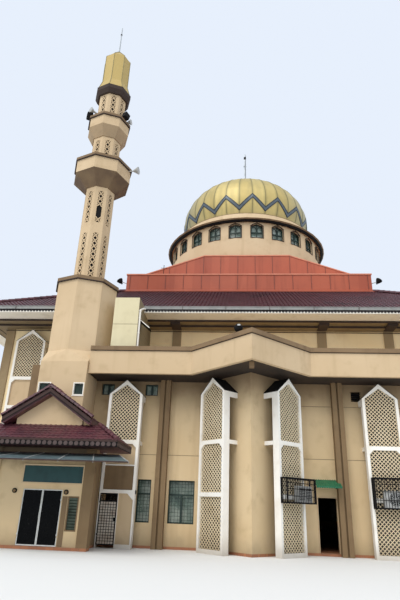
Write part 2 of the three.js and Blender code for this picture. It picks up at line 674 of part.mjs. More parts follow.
const canopyEnd = box(
  canopyLeft - seat, canopyLeft + 2 * clearOf, -reach - clearOf, -reach + clearOf, front.top - through,
  canopy.top + seat,
);
place('minaret_base', cut(baseShape, [baseBore, baseWell, canopyEnd]), 'cream');

const shaftFoot = octagon.copingTop + seat;
const shaftTop = cap.bottom - seat;
const strips = { width: 260, depth: 40 };
const shaftRing = ringProfile(octagon.shaft - octagon.wall, octagon.shaft, shaftFoot, shaftTop);
const flat = octagon.shaft * Math.cos(Math.PI / 8);
const stripCuts = [];
for (let k = 0; k < 8; k++) {
  for (const [z0, z1] of octagon.slots) {
    const slot = box(-strips.width / 2, strips.width / 2, -flat - through, strips.depth - flat, z0, z1);
    stripCuts.push(slot.rotate([0, 0, 22.5 + 45 * k]).translate([tower.x, 0, 0]));
  }
}
place('minaret_shaft', turned(shaftRing, 8, tower.x, 0).subtract(join(stripCuts)), 'cream');

const coping = { high: 150, proud: 30, wall: 120, neck: 40 };

function balcony(name, { taper, band, top, radius }) {
  const hole = octagon.shaft + seat;
  const outer = radius - 20;
  const inside = radius - coping.wall;
  place(name, turned([
    [hole, taper], [octagon.shaft + coping.neck, taper], [outer, band], [outer, top - coping.high],
    [radius + coping.proud, top - coping.high], [radius + coping.proud, top], [inside, top],
    [inside, band + coping.high], [hole, band + coping.high], [hole, taper],
  ], 8, tower.x, 0), 'cream');
}
balcony('minaret_balcony_lower', balconyLow);
balcony('minaret_balcony_upper', balconyHigh);
place('minaret_cap', turned([
  [0, cap.bottom], [octagon.shaft + 60, cap.bottom], [cap.rim, cap.rimTop - 60], [cap.rim, cap.rimTop],
  [cap.neck, cap.neckTop], [cap.neck, cap.shoulder], [0, cap.apex],
], 8, tower.x, 0), 'gold');
place('minaret_mast', turned([
  [0, cap.apex + seat], [45, cap.apex + seat], [30, cap.mastTop], [0, cap.mastTop],
], 8, tower.x, 0), 'steel');

// Stair block on the canopy, with a low link to the hall under the eave
const stairFoot = canopyRoof;
const eaveFront = hall.front - eave.out - 120;
const linkFront = eaveFront - 5;
const beamFace = hall.front - pilaster.proud;
const w = stair.wall;
const stairOuter = join([
  box(stair.left, stair.right, stair.face, eaveFront - seat, stairFoot, stair.top),
  box(stair.left, stair.right, linkFront, beamFace - seat, stairFoot, hall.soffit - seat),
  box(stair.left, stair.right, linkFront, hall.front - seat, stairFoot, beamBottom - seat),
]);
const stairInner = join([
  box(stair.left + w, stair.right - w, stair.face + w, eaveFront - w, stairFoot - through, stair.top - w),
  box(stair.left + w, stair.right - w, linkFront - w, beamFace - w, stairFoot - through, hall.soffit - w),
]);
place('stair_block', stairOuter.subtract(stairInner), 'cream');

// Porch walls with a corner pier each side
const hingeY = porch.face - hinge.stand;
const leftHingeX = porchDoor.left + porchDoor.gap / 2;
const rightHingeX = porchDoor.right - porchDoor.gap / 2;
const pierLeft = px0 + porch.pier.width;
const pierRight = px1 - porch.pier.width;
const louvreHole = box(
  louvre.left, louvre.right, porch.face - through, pin + through, louvre.sill, louvre.head,
);
place('porch_wall_right', join([
  knuckles(rightHingeX, hingeY, 1, hinge.stand + 1, false),
  box(porchDoor.right, pierRight, porch.face, pin, base, porch.top).subtract(louvreHole),
  box(pierRight - 5, px1, pierFront, pierBack, base, porch.top),
  box(porchSide - porch.wall, porchSide, pin - 5, -seat, base, porch.top),
]), 'cream');
place('porch_wall_left', join([
  knuckles(leftHingeX, hingeY, -1, hinge.stand + 1, false),
  box(pierLeft, porchDoor.left, porch.face, pin, base, porch.top),
  box(px0, pierLeft + 5, pierFront, pierBack, base, porch.top),
  box(pierLeft - porch.wall, pierLeft, pin - 5, pier.face - seat, base, porch.top),
]), 'cream');
const lintel = [porchDoor.left + seat, porchDoor.right - seat];
place('porch_door_head', box(...lintel, porch.face, pin, porch.headroom, porch.top), 'cream');

// Skirt roof round the porch: hipped slopes, a flat top and a soffit board
const skirtTop = skirt.eave + skirt.rise;
const skirtFoot = skirt.eave - skirt.thick;
const skirtLeft = px0 - skirt.out;
const skirtRight = px1 + skirt.out;
const skirtFront = porch.face - skirt.out;
function hipped(drop, back) {
  const rings = [[0, skirtFoot - drop], [0, skirt.eave - drop], [skirt.out, skirtTop - drop]];
  return hull(rings.flatMap(([inset, z]) => [
    [skirtLeft + inset, skirtFront + inset, z], [skirtRight - inset, skirtFront + inset, z],
    [skirtLeft + inset, back, z], [skirtRight - inset, back, z],
  ]));
}
const soffitTop = skirtFoot + 5;
const soffitFoot = porch.top + seat;
const soffitPlate = box(skirtLeft, skirtRight, skirtFront, skirt.back, soffitFoot, soffitTop);
const porchRoom = box(
  pierLeft, porchSide - porch.wall, pin, skirt.back - 150, soffitFoot - through, soffitTop + through,
);
const porchLid = box(tower.right + seat, porchSide, skirt.back - 5, -seat, soffitFoot, soffitTop + 60);
const cutFoot = porch.top - clearOf;
const cutTop = gable.apex;
const pierSpace = box(pier.left - seat, tower.left, pier.face - seat, tower.back, cutFoot, cutTop);
const towerSpace = box(
  tower.left - seat, tower.right + seat, tower.face - seat, tower.back, cutFoot, cutTop,
);
const skirtShell = hipped(0, skirt.back).subtract(hipped(skirt.thick, skirt.back - 100));
const skirtRoof = join([skirtShell, soffitPlate.subtract(porchRoom), porchLid]);
place('porch_skirt_roof', skirtRoof.subtract(join([pierSpace, towerSpace])), 'tile');

// Gable over the porch
const gableInner = gable.apex - gable.thick;
const gableFoot = skirtTop + seat;
const innerHalf = gable.half - 110;
const fall = (gableInner - gableFoot) / innerHalf;

function atPorch(points) {
  return points.map(([x, z]) => [porch.centre + x, z]);
}
place('porch_gable_roof', panel(atPorch([
  [-gable.half, gableFoot], [-innerHalf, gableFoot], [0, gableInner], [innerHalf, gableFoot],
  [gable.half, gableFoot], [gable.half, gable.eave], [0, gable.apex], [-gable.half, gable.eave],
]), gable.front, tower.face - seat), 'tile');
const gableSide = gableInner - fall * gable.wallHalf - 1;
place('porch_gable_wall', panel(atPorch([
  [-gable.wallHalf, gableFoot], [gable.wallHalf, gableFoot], [gable.wallHalf, gableSide], [0, gableInner - 1],
  [-gable.wallHalf, gableSide],
]), porch.face, porch.face + 150), 'cream');

// Translucent awning, sign board and the doors
place('porch_awning', slopedSheet(
  [awning.left + awning.taper, awning.right - awning.taper, pierFront - seat, awning.backZ],
  [awning.left, awning.right, awning.front, awning.frontZ],
  awning.thick,
), 'awning');
const signBack = porch.face - seat;
const signBoard = box(sign.left, pierRight - 20, porch.face - sign.thick, signBack, sign.foot, sign.top);
place('sign_board', signBoard, 'board');

const stile = { width: 70, foot: 110, lap: 5, pane: [18, 27], lift: 10 };

function doorLeaf(name, x0, x1, pivotX, side) {
  const y0 = porch.face + porchDoor.set;
  const y1 = y0 + porchDoor.leaf;
  const z0 = floorTop + stile.lift;
  const z1 = porch.headroom - porchDoor.gap;
  const inside = [x0 + stile.width, x1 - stile.width];
  const sill = z0 + stile.foot;
  const top = z1 - stile.width;
  const opening = box(...inside, y0 - through, y1 + through, sill, top);
  const [paneFront, paneBack] = stile.pane.map((depth) => y0 + depth);
  place(name, join([
    box(x0, x1, y0, y1, z0, z1).subtract(opening),
    box(inside[0] - stile.lap, inside[1] + stile.lap, paneFront, paneBack, sill - through, top + stile.lap),
    knuckles(pivotX, hingeY, side, hinge.stand + porchDoor.set + 1, true),
  ]), 'steel');
}
const meeting = (porchDoor.left + porchDoor.right) / 2;
doorLeaf('porch_door_left', porchDoor.left + porchDoor.gap, meeting - porchDoor.gap / 2, leftHingeX, 1);
doorLeaf('porch_door_right', meeting + porchDoor.gap / 2, porchDoor.right - porchDoor.gap, rightHingeX, -1);

// Glass behind the window openings
const sheet = 20;
const paneFoot = 850;
const paneTop = front.top - 40;
const hallPaneTop = hatch.head + 100;
const paneLeft = front.left + 250;
const paneFront = front.wall + seat;
const paneBack = front.wall + sheet;
const frontPane = box(paneLeft, -front.prow - 250, paneFront, paneBack, paneFoot, paneTop);
const doorPassage = box(
  paneLeft - through, sideDoor.right + 150, paneFront - through, paneBack + through, paneFoot - through,
  hatch.sill - 100,
);
place('glass_front', frontPane.subtract(doorPassage), 'glass');
const glassHalf = hall.half - hall.wall - seat;
const glassBack = hall.back - hall.wall - seat;
const glassInner = glassHalf - sheet;
place('glass_hall', cut(
  box(-glassHalf, glassHalf, inFront + clearOf, glassBack, paneFoot, hallPaneTop),
  [box(-glassInner, glassInner, inFront, glassBack - sheet, paneFoot - through, hallPaneTop + through)],
), 'glass');

building.updateMatrixWorld(true);
export default building;
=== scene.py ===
import json
import math

import bpy
from mathutils import Matrix, Vector


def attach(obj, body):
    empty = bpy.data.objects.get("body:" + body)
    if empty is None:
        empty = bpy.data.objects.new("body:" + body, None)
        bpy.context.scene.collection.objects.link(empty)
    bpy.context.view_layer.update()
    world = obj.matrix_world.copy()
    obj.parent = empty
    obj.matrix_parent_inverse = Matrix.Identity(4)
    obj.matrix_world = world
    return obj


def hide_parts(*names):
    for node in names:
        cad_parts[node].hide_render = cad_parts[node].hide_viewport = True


# Mosque building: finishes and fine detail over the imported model. Metres, +Z up, front towards -Y.
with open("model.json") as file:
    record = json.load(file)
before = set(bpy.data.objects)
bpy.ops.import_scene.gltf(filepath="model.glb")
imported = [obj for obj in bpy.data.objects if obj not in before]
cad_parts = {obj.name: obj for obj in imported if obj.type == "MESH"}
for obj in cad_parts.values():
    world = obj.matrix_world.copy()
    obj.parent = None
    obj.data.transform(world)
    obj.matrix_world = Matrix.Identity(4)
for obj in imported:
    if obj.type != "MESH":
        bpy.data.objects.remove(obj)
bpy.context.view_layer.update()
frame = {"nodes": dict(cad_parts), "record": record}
scene = bpy.context.scene
print('frame loaded,', len(frame['nodes']), 'nodes')

# Camera

cameraView = {
    'eye': (-0.471, -36.099, 1.545), 'yaw': -0.0865, 'pitch': 0.3995, 'roll': 0.0366, 'lens': 29.49,
    'sensor': 36, 'far': 500}


def addCamera(view):
    yaw, pitch, roll = view['yaw'], view['pitch'], view['roll']
    ahead = Vector((math.sin(yaw) * math.cos(pitch), math.cos(yaw) * math.cos(pitch), math.sin(pitch)))
    level = Vector((math.cos(yaw), -math.sin(yaw), 0))
    above = level.cross(ahead)
    right = level * math.cos(roll) + above * math.sin(roll)
    up = above * math.cos(roll) - level * math.sin(roll)
    lens = bpy.data.cameras.new('camera')
    lens.lens = view['lens']
    lens.sensor_width = view['sensor']
    lens.clip_end = view['far']
    camera = bpy.data.objects.new('camera', lens)
    camera.matrix_world = Matrix.Translation(view['eye']) @ Matrix((right, up, -ahead)).transposed().to_4x4()
    scene.collection.objects.link(camera)
    scene.camera = camera


# Finishes

def tint(red, green, blue):
    # display colour, 0 to 255, as the linear colour that a socket takes
    shares = [value / 255 for value in (red, green, blue)]
    linear = [s / 12.92 if s <= 0.04045 else ((s + 0.055) / 1.055) ** 2.4 for s in shares]
    return (*linear, 1)


class Reading:
    # a number that changes over a surface; sums with it add Math nodes
    def __init__(self, look, socket):
        self.look = look
        self.socket = socket

    def maths(self, operation, first, second=0.0):
        return self.look.node('ShaderNodeMath', {'operation': operation}, {0: first, 1: second})

    def __add__(self, other):
        return self.maths('ADD', self, other)

    __radd__ = __add__

    def __sub__(self, other):
        return self.maths('SUBTRACT', self, other)

    def __rsub__(self, other):
        return self.maths('SUBTRACT', other, self)

    def __mul__(self, other):
        return self.maths('MULTIPLY', self, other)

    __rmul__ = __mul__

    def __truediv__(self, other):
        return self.maths('DIVIDE', self, other)

    def __rtruediv__(self, other):
        return self.maths('DIVIDE', other, self)

    def __abs__(self):
        return self.maths('ABSOLUTE', self)

    def __floor__(self):
        return self.maths('FLOOR', self)

    def fraction(self):
        return self.maths('FRACT', self)

    def rise(self, low, high):
        # 0 up to low, 1 from high on, smooth between them
        span = {'interpolation_type': 'SMOOTHSTEP'}
        return self.look.node('ShaderNodeMapRange', span, {0: self, 1: low, 2: high, 3: 0.0, 4: 1.0})


class Look:
    # one material, with the point on the surface ready as x, y and z in metres
    def __init__(self, name, metallic=0.0, roughness=0.5):
        self.material = bpy.data.materials.new(name)
        self.material.use_nodes = True
        self.tree = self.material.node_tree
        self.tree.nodes.clear()
        self.shader = self.tree.nodes.new('ShaderNodeBsdfPrincipled')
        self.shader.inputs['Metallic'].default_value = metallic
        self.shader.inputs['Roughness'].default_value = roughness
        out = self.tree.nodes.new('ShaderNodeOutputMaterial')
        self.tree.links.new(self.shader.outputs[0], out.inputs['Surface'])
        self.point = self.node('ShaderNodeTexCoord', output='Object')
        split = self.node('ShaderNodeSeparateXYZ', values={0: self.point}, output=None)
        self.x, self.y, self.z = (Reading(self, socket) for socket in split.outputs)

    def node(self, kind, settings=None, values=None, output=0):
        made = self.tree.nodes.new(kind)
        for key, value in (settings or {}).items():
            setattr(made, key, value)
        for key, value in (values or {}).items():
            self.feed(made.inputs[key], value)
        return made if output is None else Reading(self, made.outputs[output])

    def feed(self, socket, value):
        if isinstance(value, Reading):
            self.tree.links.new(value.socket, socket)
        else:
            socket.default_value = value

    def noise(self, scale, detail=3.0, stretch=(1, 1, 1), roughness=0.5, shift=(0, 0, 0)):
        spot = {'Vector': self.point, 'Scale': stretch, 'Location': shift}
        grain = {'Scale': scale, 'Detail': detail, 'Roughness': roughness}
        grain['Vector'] = self.node('ShaderNodeMapping', {}, spot)
        return self.node('ShaderNodeTexNoise', {}, grain)

    def mix(self, amount, first, second):
        # each colour is a reading or a display colour
        first, second = (tint(*shade) if isinstance(shade, tuple) else shade for shade in (first, second))
        return self.node('ShaderNodeMix', {'data_type': 'RGBA'}, {0: amount, 6: first, 7: second}, 2)

    def random(self, *numbers):
        # one steady random number for each set of whole numbers
        cell = self.node('ShaderNodeCombineXYZ', {}, dict(enumerate(numbers)))
        return self.node('ShaderNodeTexWhiteNoise', {'noise_dimensions': '3D'}, {'Vector': cell})

    def bump(self, height, distance, strength=1.0):
        relief = {'Height': height, 'Distance': distance, 'Strength': strength}
        self.feed(self.shader.inputs['Normal'], self.node('ShaderNodeBump', {}, relief))

    def paint(self):
        return Reading(self, self.shader.inputs['Base Color'].links[0].from_socket)

    def finish(self, colour, roughness=None):
        self.feed(self.shader.inputs['Base Color'], colour)
        if roughness:
            self.feed(self.shader.inputs['Roughness'], roughness)


def renderLook(name, base, dark, light, grooves=(), shade=None, foot=True):
    # painted cement render: cloudy patches, rain streaks, fine grit and dirt at the foot, and where asked a
    # painted shade below a canopy
    look = Look(name)
    cloud = look.noise(0.35, 4.0, shift=(3, 1, 0))
    patch = look.noise(1.7, 5.0, shift=(0, 4, 2))
    streaks = look.noise(2.2, 4.0, (1, 1, 0.07)).rise(0.52, 0.78)
    grit = look.noise(38, 3.0, roughness=0.6)
    paint = look.mix(cloud.rise(0.3, 0.72), base, light)
    paint = look.mix(patch.rise(0.5, 0.85) * 0.55, paint, dark)
    paint = look.mix(streaks * 0.35, paint, dark)
    if foot:
        paint = look.mix((1 - (look.z + patch * 0.8).rise(0.2, 1.25)) * 0.55, paint, (118, 100, 76))
    if shade:
        # painted shade below a canopy or an awning: darker towards the top, between two heights
        low, high, paintedShade = shade
        paint = look.mix((look.z + patch * 0.5).rise(low, high) * 0.8, paint, paintedShade)
    height = grit * 0.4
    for at in grooves:
        groove = 1 - abs(look.z - at).rise(0.0066, 0.0154)  # half the joint's height, from full to none
        paint = look.mix(groove * 0.75, paint, (96, 78, 56))
        height = height - groove * 3
    look.finish(paint, 0.74 + grit * 0.2)
    look.bump(height, 0.004, 0.6)
    return look


def sidedLook(name, base, dark, light, grooves, edge, shade):
    # render with painted shade on the faces beyond one upright edge
    look = renderLook(name, base, dark, light, grooves, foot=False)
    look.finish(look.mix(look.x.rise(edge, edge + 0.008) * 0.85, look.paint(), shade))
    return look


def undersideLook(name, base, dark, light, under, darker):
    # render whose undersides are darker: partly brown stains, partly painted shade
    look = renderLook(name, base, dark, light, foot=False)
    stainAndShadeBelow = look.mix(look.noise(1.1, 4.0, shift=(2, 0, 5)).rise(0.3, 0.75), under, darker)
    normal = look.node('ShaderNodeTexCoord', output='Normal')
    upward = look.node('ShaderNodeSeparateXYZ', values={0: normal}, output=2)
    look.finish(look.mix(1 - upward.rise(-0.6, -0.2), look.paint(), stainAndShadeBelow))
    return look


def tileLook(name, base, dark, light):
    # glazed clay: every tile takes its own shade
    look = Look(name)
    patch, fine = look.noise(0.8, 4.0), look.noise(24, 3.0)
    own = look.random(math.floor(look.x / 0.2), math.floor(look.y / 0.2), math.floor(look.z / 0.157))
    glaze = look.mix(own, base, light)
    glaze = look.mix(patch.rise(0.45, 0.8) * 0.7, glaze, dark)
    glaze = look.mix(fine.rise(0.5, 0.9) * 0.35, glaze, dark)
    look.finish(glaze, 0.32 + fine * 0.3)
    look.bump(fine, 0.002, 0.5)
    return look


tier = {'seam': 0.014, 'proud': 0.03, 'pitch': 1.155, 'upperPitch': 1.14}


def cladLook(name, low, high, patchy, streaky, dirty):
    # painted sheet, faded by sun, with slight waves and dirt along its foot
    look = Look(name)
    patch = look.noise(0.6, 4.0)
    streaks = look.noise(3.0, 4.0, (1, 1, 0.1)).rise(0.5, 0.8)
    sheet = look.random(math.floor(look.x / tier['pitch']), math.floor(look.y / tier['pitch']), 1.0)
    paint = look.mix(sheet, low, high)
    paint = look.mix(patch.rise(0.4, 0.8) * 0.5, paint, patchy)
    paint = look.mix(streaks * 0.4, paint, streaky)
    foot = 1 - (look.z - 14.12 + patch * 0.2).rise(0.1, 0.4)
    look.finish(look.mix(foot * 0.6, paint, dirty), 0.42 + streaks * 0.25)
    look.bump(look.noise(1.6, 1.0, (1, 1, 0.5)), 0.02, 0.35)
    return look


def domeLook(name, gores):
    # satin gold sheets, each a little different, greener towards the crown and along the seams, with painted
    # shade on the dome's left and right sides
    look = Look(name, 0.22)
    angle = look.x.maths('ARCTAN2', look.x, look.y * -1) / (2 * math.pi / gores) + 0.5
    own = look.random(math.floor(angle), math.floor((look.z - 21.2) / 1.45), 2.0)
    whole = look.random(math.floor(angle), 7.0, 4.0)
    patch = look.noise(0.9, 4.0)
    streaks = look.noise(2.0, 4.0, (1, 1, 0.12)).rise(0.45, 0.8)
    skin = look.mix(whole * 0.6 + own * 0.4, (184, 161, 94), (212, 191, 124))
    for share, shade in (
        (abs(angle.fraction() - 0.5).rise(0.3, 0.5) * 0.45, (130, 124, 82)),  # along the seams
        (look.z.rise(23.8, 26.6) * 0.6, (138, 126, 68)),  # crown
        ((1 - look.z.rise(21.3, 22.6)) * 0.4, (186, 176, 136)),  # foot
        (patch.rise(0.45, 0.8) * 0.35, (140, 128, 84)),
        (streaks * 0.3, (116, 110, 78)),
        (abs(look.x).rise(2.6, 5.1) * 0.6, (136, 140, 126)),  # painted shade on the left and right sides
        (abs(look.x).rise(5.6, 6.0) * 0.85, (190, 162, 90)),  # the minaret's cap stays gold
    ):
        skin = look.mix(share, skin, shade)
    look.finish(skin, 0.44 + patch * 0.2)
    look.bump(look.noise(2.4, 2.0), 0.02, 0.2)
    return look


def metalLook(name, base, dark, metallic=0.0, roughness=0.45, grain=26):
    # paint or bare metal with dull patches and fine scratches
    look = Look(name, metallic)
    patch, fine = look.noise(3.0, 4.0), look.noise(grain * 2, 3.0, (1, 1, 0.3))
    paint = look.mix(patch.rise(0.4, 0.8) * 0.6, base, dark)
    paint = look.mix(fine.rise(0.55, 0.9) * 0.3, paint, dark)
    look.finish(paint, roughness - 0.08 + patch * 0.2)
    look.bump(fine, 0.001, 0.4)
    return look


def paneLook(name, base, dark, alpha, roughness=0.12, bend=1.5):
    # window glass: tinted, a little dusty, seen through by its alpha
    look = Look(name)
    patch, dust = look.noise(2.2, 4.0), look.noise(9, 4.0).rise(0.4, 0.9)
    look.finish(look.mix(patch.rise(0.35, 0.75), base, dark), roughness + dust * 0.2)
    look.feed(look.shader.inputs['Alpha'], alpha + dust * 0.1)
    look.shader.inputs['IOR'].default_value = bend
    return look


def patternedLook(name, base, dark, light):
    # obscure glass pressed with small cells, pale and green
    look = paneLook(name, base, dark, 0.95, 0.3)
    cells = look.node('ShaderNodeTexVoronoi', {}, {'Vector': look.point, 'Scale': 14.0})
    sheen = look.noise(1.2, 3.0, shift=(1, 0, 3)).rise(0.4, 0.7)
    paint = look.mix(cells.rise(0.25, 0.6) * 0.6, look.paint(), dark)
    look.finish(look.mix(sheen * 0.55, paint, light))
    look.bump(cells, 0.003, 0.5)
    return look


def floorLook(name, wide, first, second, joint, worn):
    # square tiles with joints, the walking surface inside
    look = Look(name, 0.0, 0.55)
    spot = look.node('ShaderNodeMapping', {}, {'Vector': look.point, 'Scale': (1, 1, 0)})
    joints = look.node('ShaderNodeTexBrick', {'offset': 0.0}, {
        'Vector': spot, 'Scale': 1.0, 'Mortar Size': 0.006, 'Brick Width': wide, 'Row Height': wide,
        'Color1': tint(*first), 'Color2': tint(*second), 'Mortar': tint(*joint)})
    look.finish(look.mix(look.noise(5, 4.0).rise(0.4, 0.8) * 0.4, joints, worn))
    look.bump(look.noise(30), 0.001)
    return look


cream = (201, 175, 138), (172, 146, 108), (211, 186, 150)
# a lighter copy of the cream for the front walls in the canopy's shade: painted light
shadeCream = (211, 184, 141), (180, 153, 113), (219, 194, 153)
# painted shade on the front walls below the canopy, from 5.3 m up to 6.9 m
paintedShade = 5.3, 6.9, (112, 88, 62)
trim = (), None, False  # no grooves, no soot and no dirt at the foot
paints = {
    renderLook: {
        'cream_render': cream,
        'brown_paint': ((118, 95, 66), (84, 66, 46), (134, 110, 80)),
        'white_paint': ((232, 226, 212), (196, 186, 166), (240, 236, 224)),
        # the hall's front wall under the eave: a much lighter copy of the cream, painted light
        'hall_render': ((248, 222, 172), (220, 192, 146), (250, 228, 184), (3.52,)),
        'wall_render': (*cream, (3.52,)),
        'front_wall_render': (*shadeCream, (3.52,), paintedShade),
        'right_wall_render': (*shadeCream, (3.52, 5.66), paintedShade),
        'prow_render': (*shadeCream, (), paintedShade),
        # painted shade on the porch walls below the porch roof and the awning
        'porch_render': (*shadeCream, (), (2.85, 3.55, (58, 44, 32))),
        'coping_paint': ((122, 98, 70), (86, 66, 46), (138, 114, 84), *trim),
        'column_paint': ((120, 96, 66), (88, 68, 48), (134, 110, 78), *trim),
        'beam_paint': ((146, 124, 90), (114, 94, 66), (160, 138, 104), *trim),
        'dark_trim_paint': ((52, 38, 31), (34, 26, 22), (62, 47, 38), *trim),
        'eave_board_paint': ((128, 110, 80), (92, 78, 56), (142, 124, 92), *trim),
        'screen_paint': ((240, 234, 222), (212, 200, 178), (246, 243, 235)),
        'lattice_paint': ((215, 195, 160), (178, 156, 120), (224, 208, 176)),
    },
    sidedLook: {
        # painted shade on the stair block's right face
        'stair_render': (
            (212, 200, 162), (186, 172, 134), (222, 212, 176), (9.01,), -5.002, (112, 98, 72)),
    },
    # undersides darker, partly stains and partly painted shade: the canopy's soffit and the balconies
    undersideLook: {
        'canopy_render': (*cream, (60, 46, 34), (42, 33, 25)),
        'lower_balcony_render': (*cream, (126, 104, 76), (98, 78, 60)),
        'upper_balcony_render': (*cream, (160, 134, 102), (134, 112, 86)),
    },
    tileLook: {'roof_tile': ((72, 36, 44), (44, 24, 30), (94, 48, 54))},
    cladLook: {
        'sheet_cladding': ((166, 76, 46), (182, 90, 58), (150, 68, 42), (128, 58, 40), (132, 66, 48)),
    },
    domeLook: {'gold_skin': (32,)},
    floorLook: {'floor_tile': (0.3, (172, 112, 74), (150, 96, 66), (120, 92, 72), (134, 96, 70))},
    paneLook: {
        'pane': ((96, 116, 112), (46, 60, 62), 0.82),
        'awning_sheet': ((98, 114, 116), (72, 88, 92), 0.88, 0.4),
        'door_glass': ((10, 11, 12), (6, 7, 8), 0.99, 0.1, 1.15),
        'louvre_glass': ((100, 112, 98), (56, 66, 58), 0.95, 0.3),
    },
    patternedLook: {
        'patterned_glass': ((150, 166, 150), (74, 98, 88), (206, 212, 196)),
        # the drum's panes: a lighter copy of the patterned glass, painted light against the shade behind
        # their sashes
        'drum_glass_panes': ((190, 206, 192), (104, 128, 118), (232, 236, 226)),
    },
    metalLook: {
        'bare_steel': ((178, 182, 184), (128, 134, 138), 0.8, 0.4),
        'dark_paint': ((48, 50, 50), (26, 28, 28), 0.2, 0.5),
        'green_sheet': ((26, 108, 72), (16, 76, 52), 0.0, 0.6),
        'sign_paint': ((22, 66, 66), (14, 44, 46), 0.0, 0.5),
        'black_paint': ((22, 20, 20), (12, 12, 12), 0.0, 0.8),
        'navy_paint': ((34, 44, 58), (24, 30, 42), 0.2, 0.45),
        'grey_blue_paint': ((92, 102, 108), (70, 80, 88), 0.3, 0.4),
        'seam_line': ((120, 112, 72), (94, 90, 58), 0.3, 0.45),
        'cladding_seam': ((120, 58, 42), (92, 44, 34), 0.0, 0.5),
        'cap_sheet': ((214, 134, 104), (184, 106, 80), 0.0, 0.5),
        'window_frame_paint': ((22, 46, 38), (14, 28, 24), 0.1, 0.45),
        'pale_grey_paint': ((184, 184, 180), (140, 140, 136), 0.1, 0.5),
        'gutter_paint': ((146, 146, 142), (104, 104, 102), 0.1, 0.5),
        # near black: painted shade on the tile ends under the eave
        'tile_edge_shade': ((36, 26, 28), (20, 16, 18), 0.0, 0.5),
        'tile_rim': ((84, 68, 64), (58, 46, 44), 0.0, 0.7),
        'door_sheet': ((206, 196, 180), (150, 120, 92), 0.0, 0.6, 6),
        # dark sheets behind the lattices: painted shade seen through their holes
        'dark_shade_backing': ((30, 26, 22), (20, 18, 16), 0.0, 0.8),
        'brown_shade_backing': ((40, 32, 24), (28, 23, 18), 0.0, 0.8),
        'porch_edge_paint': ((62, 40, 34), (42, 27, 24), 0.0, 0.75),
        'door_frame_paint': ((214, 214, 208), (176, 176, 170), 0.1, 0.4),
    },
}
looks = {name: kind(name, *values) for kind, named in paints.items() for name, values in named.items()}
looks['black_paint'].shader.inputs['Specular IOR Level'].default_value = 0.2
print('finishes ready:', len(bpy.data.materials))

# Shapes

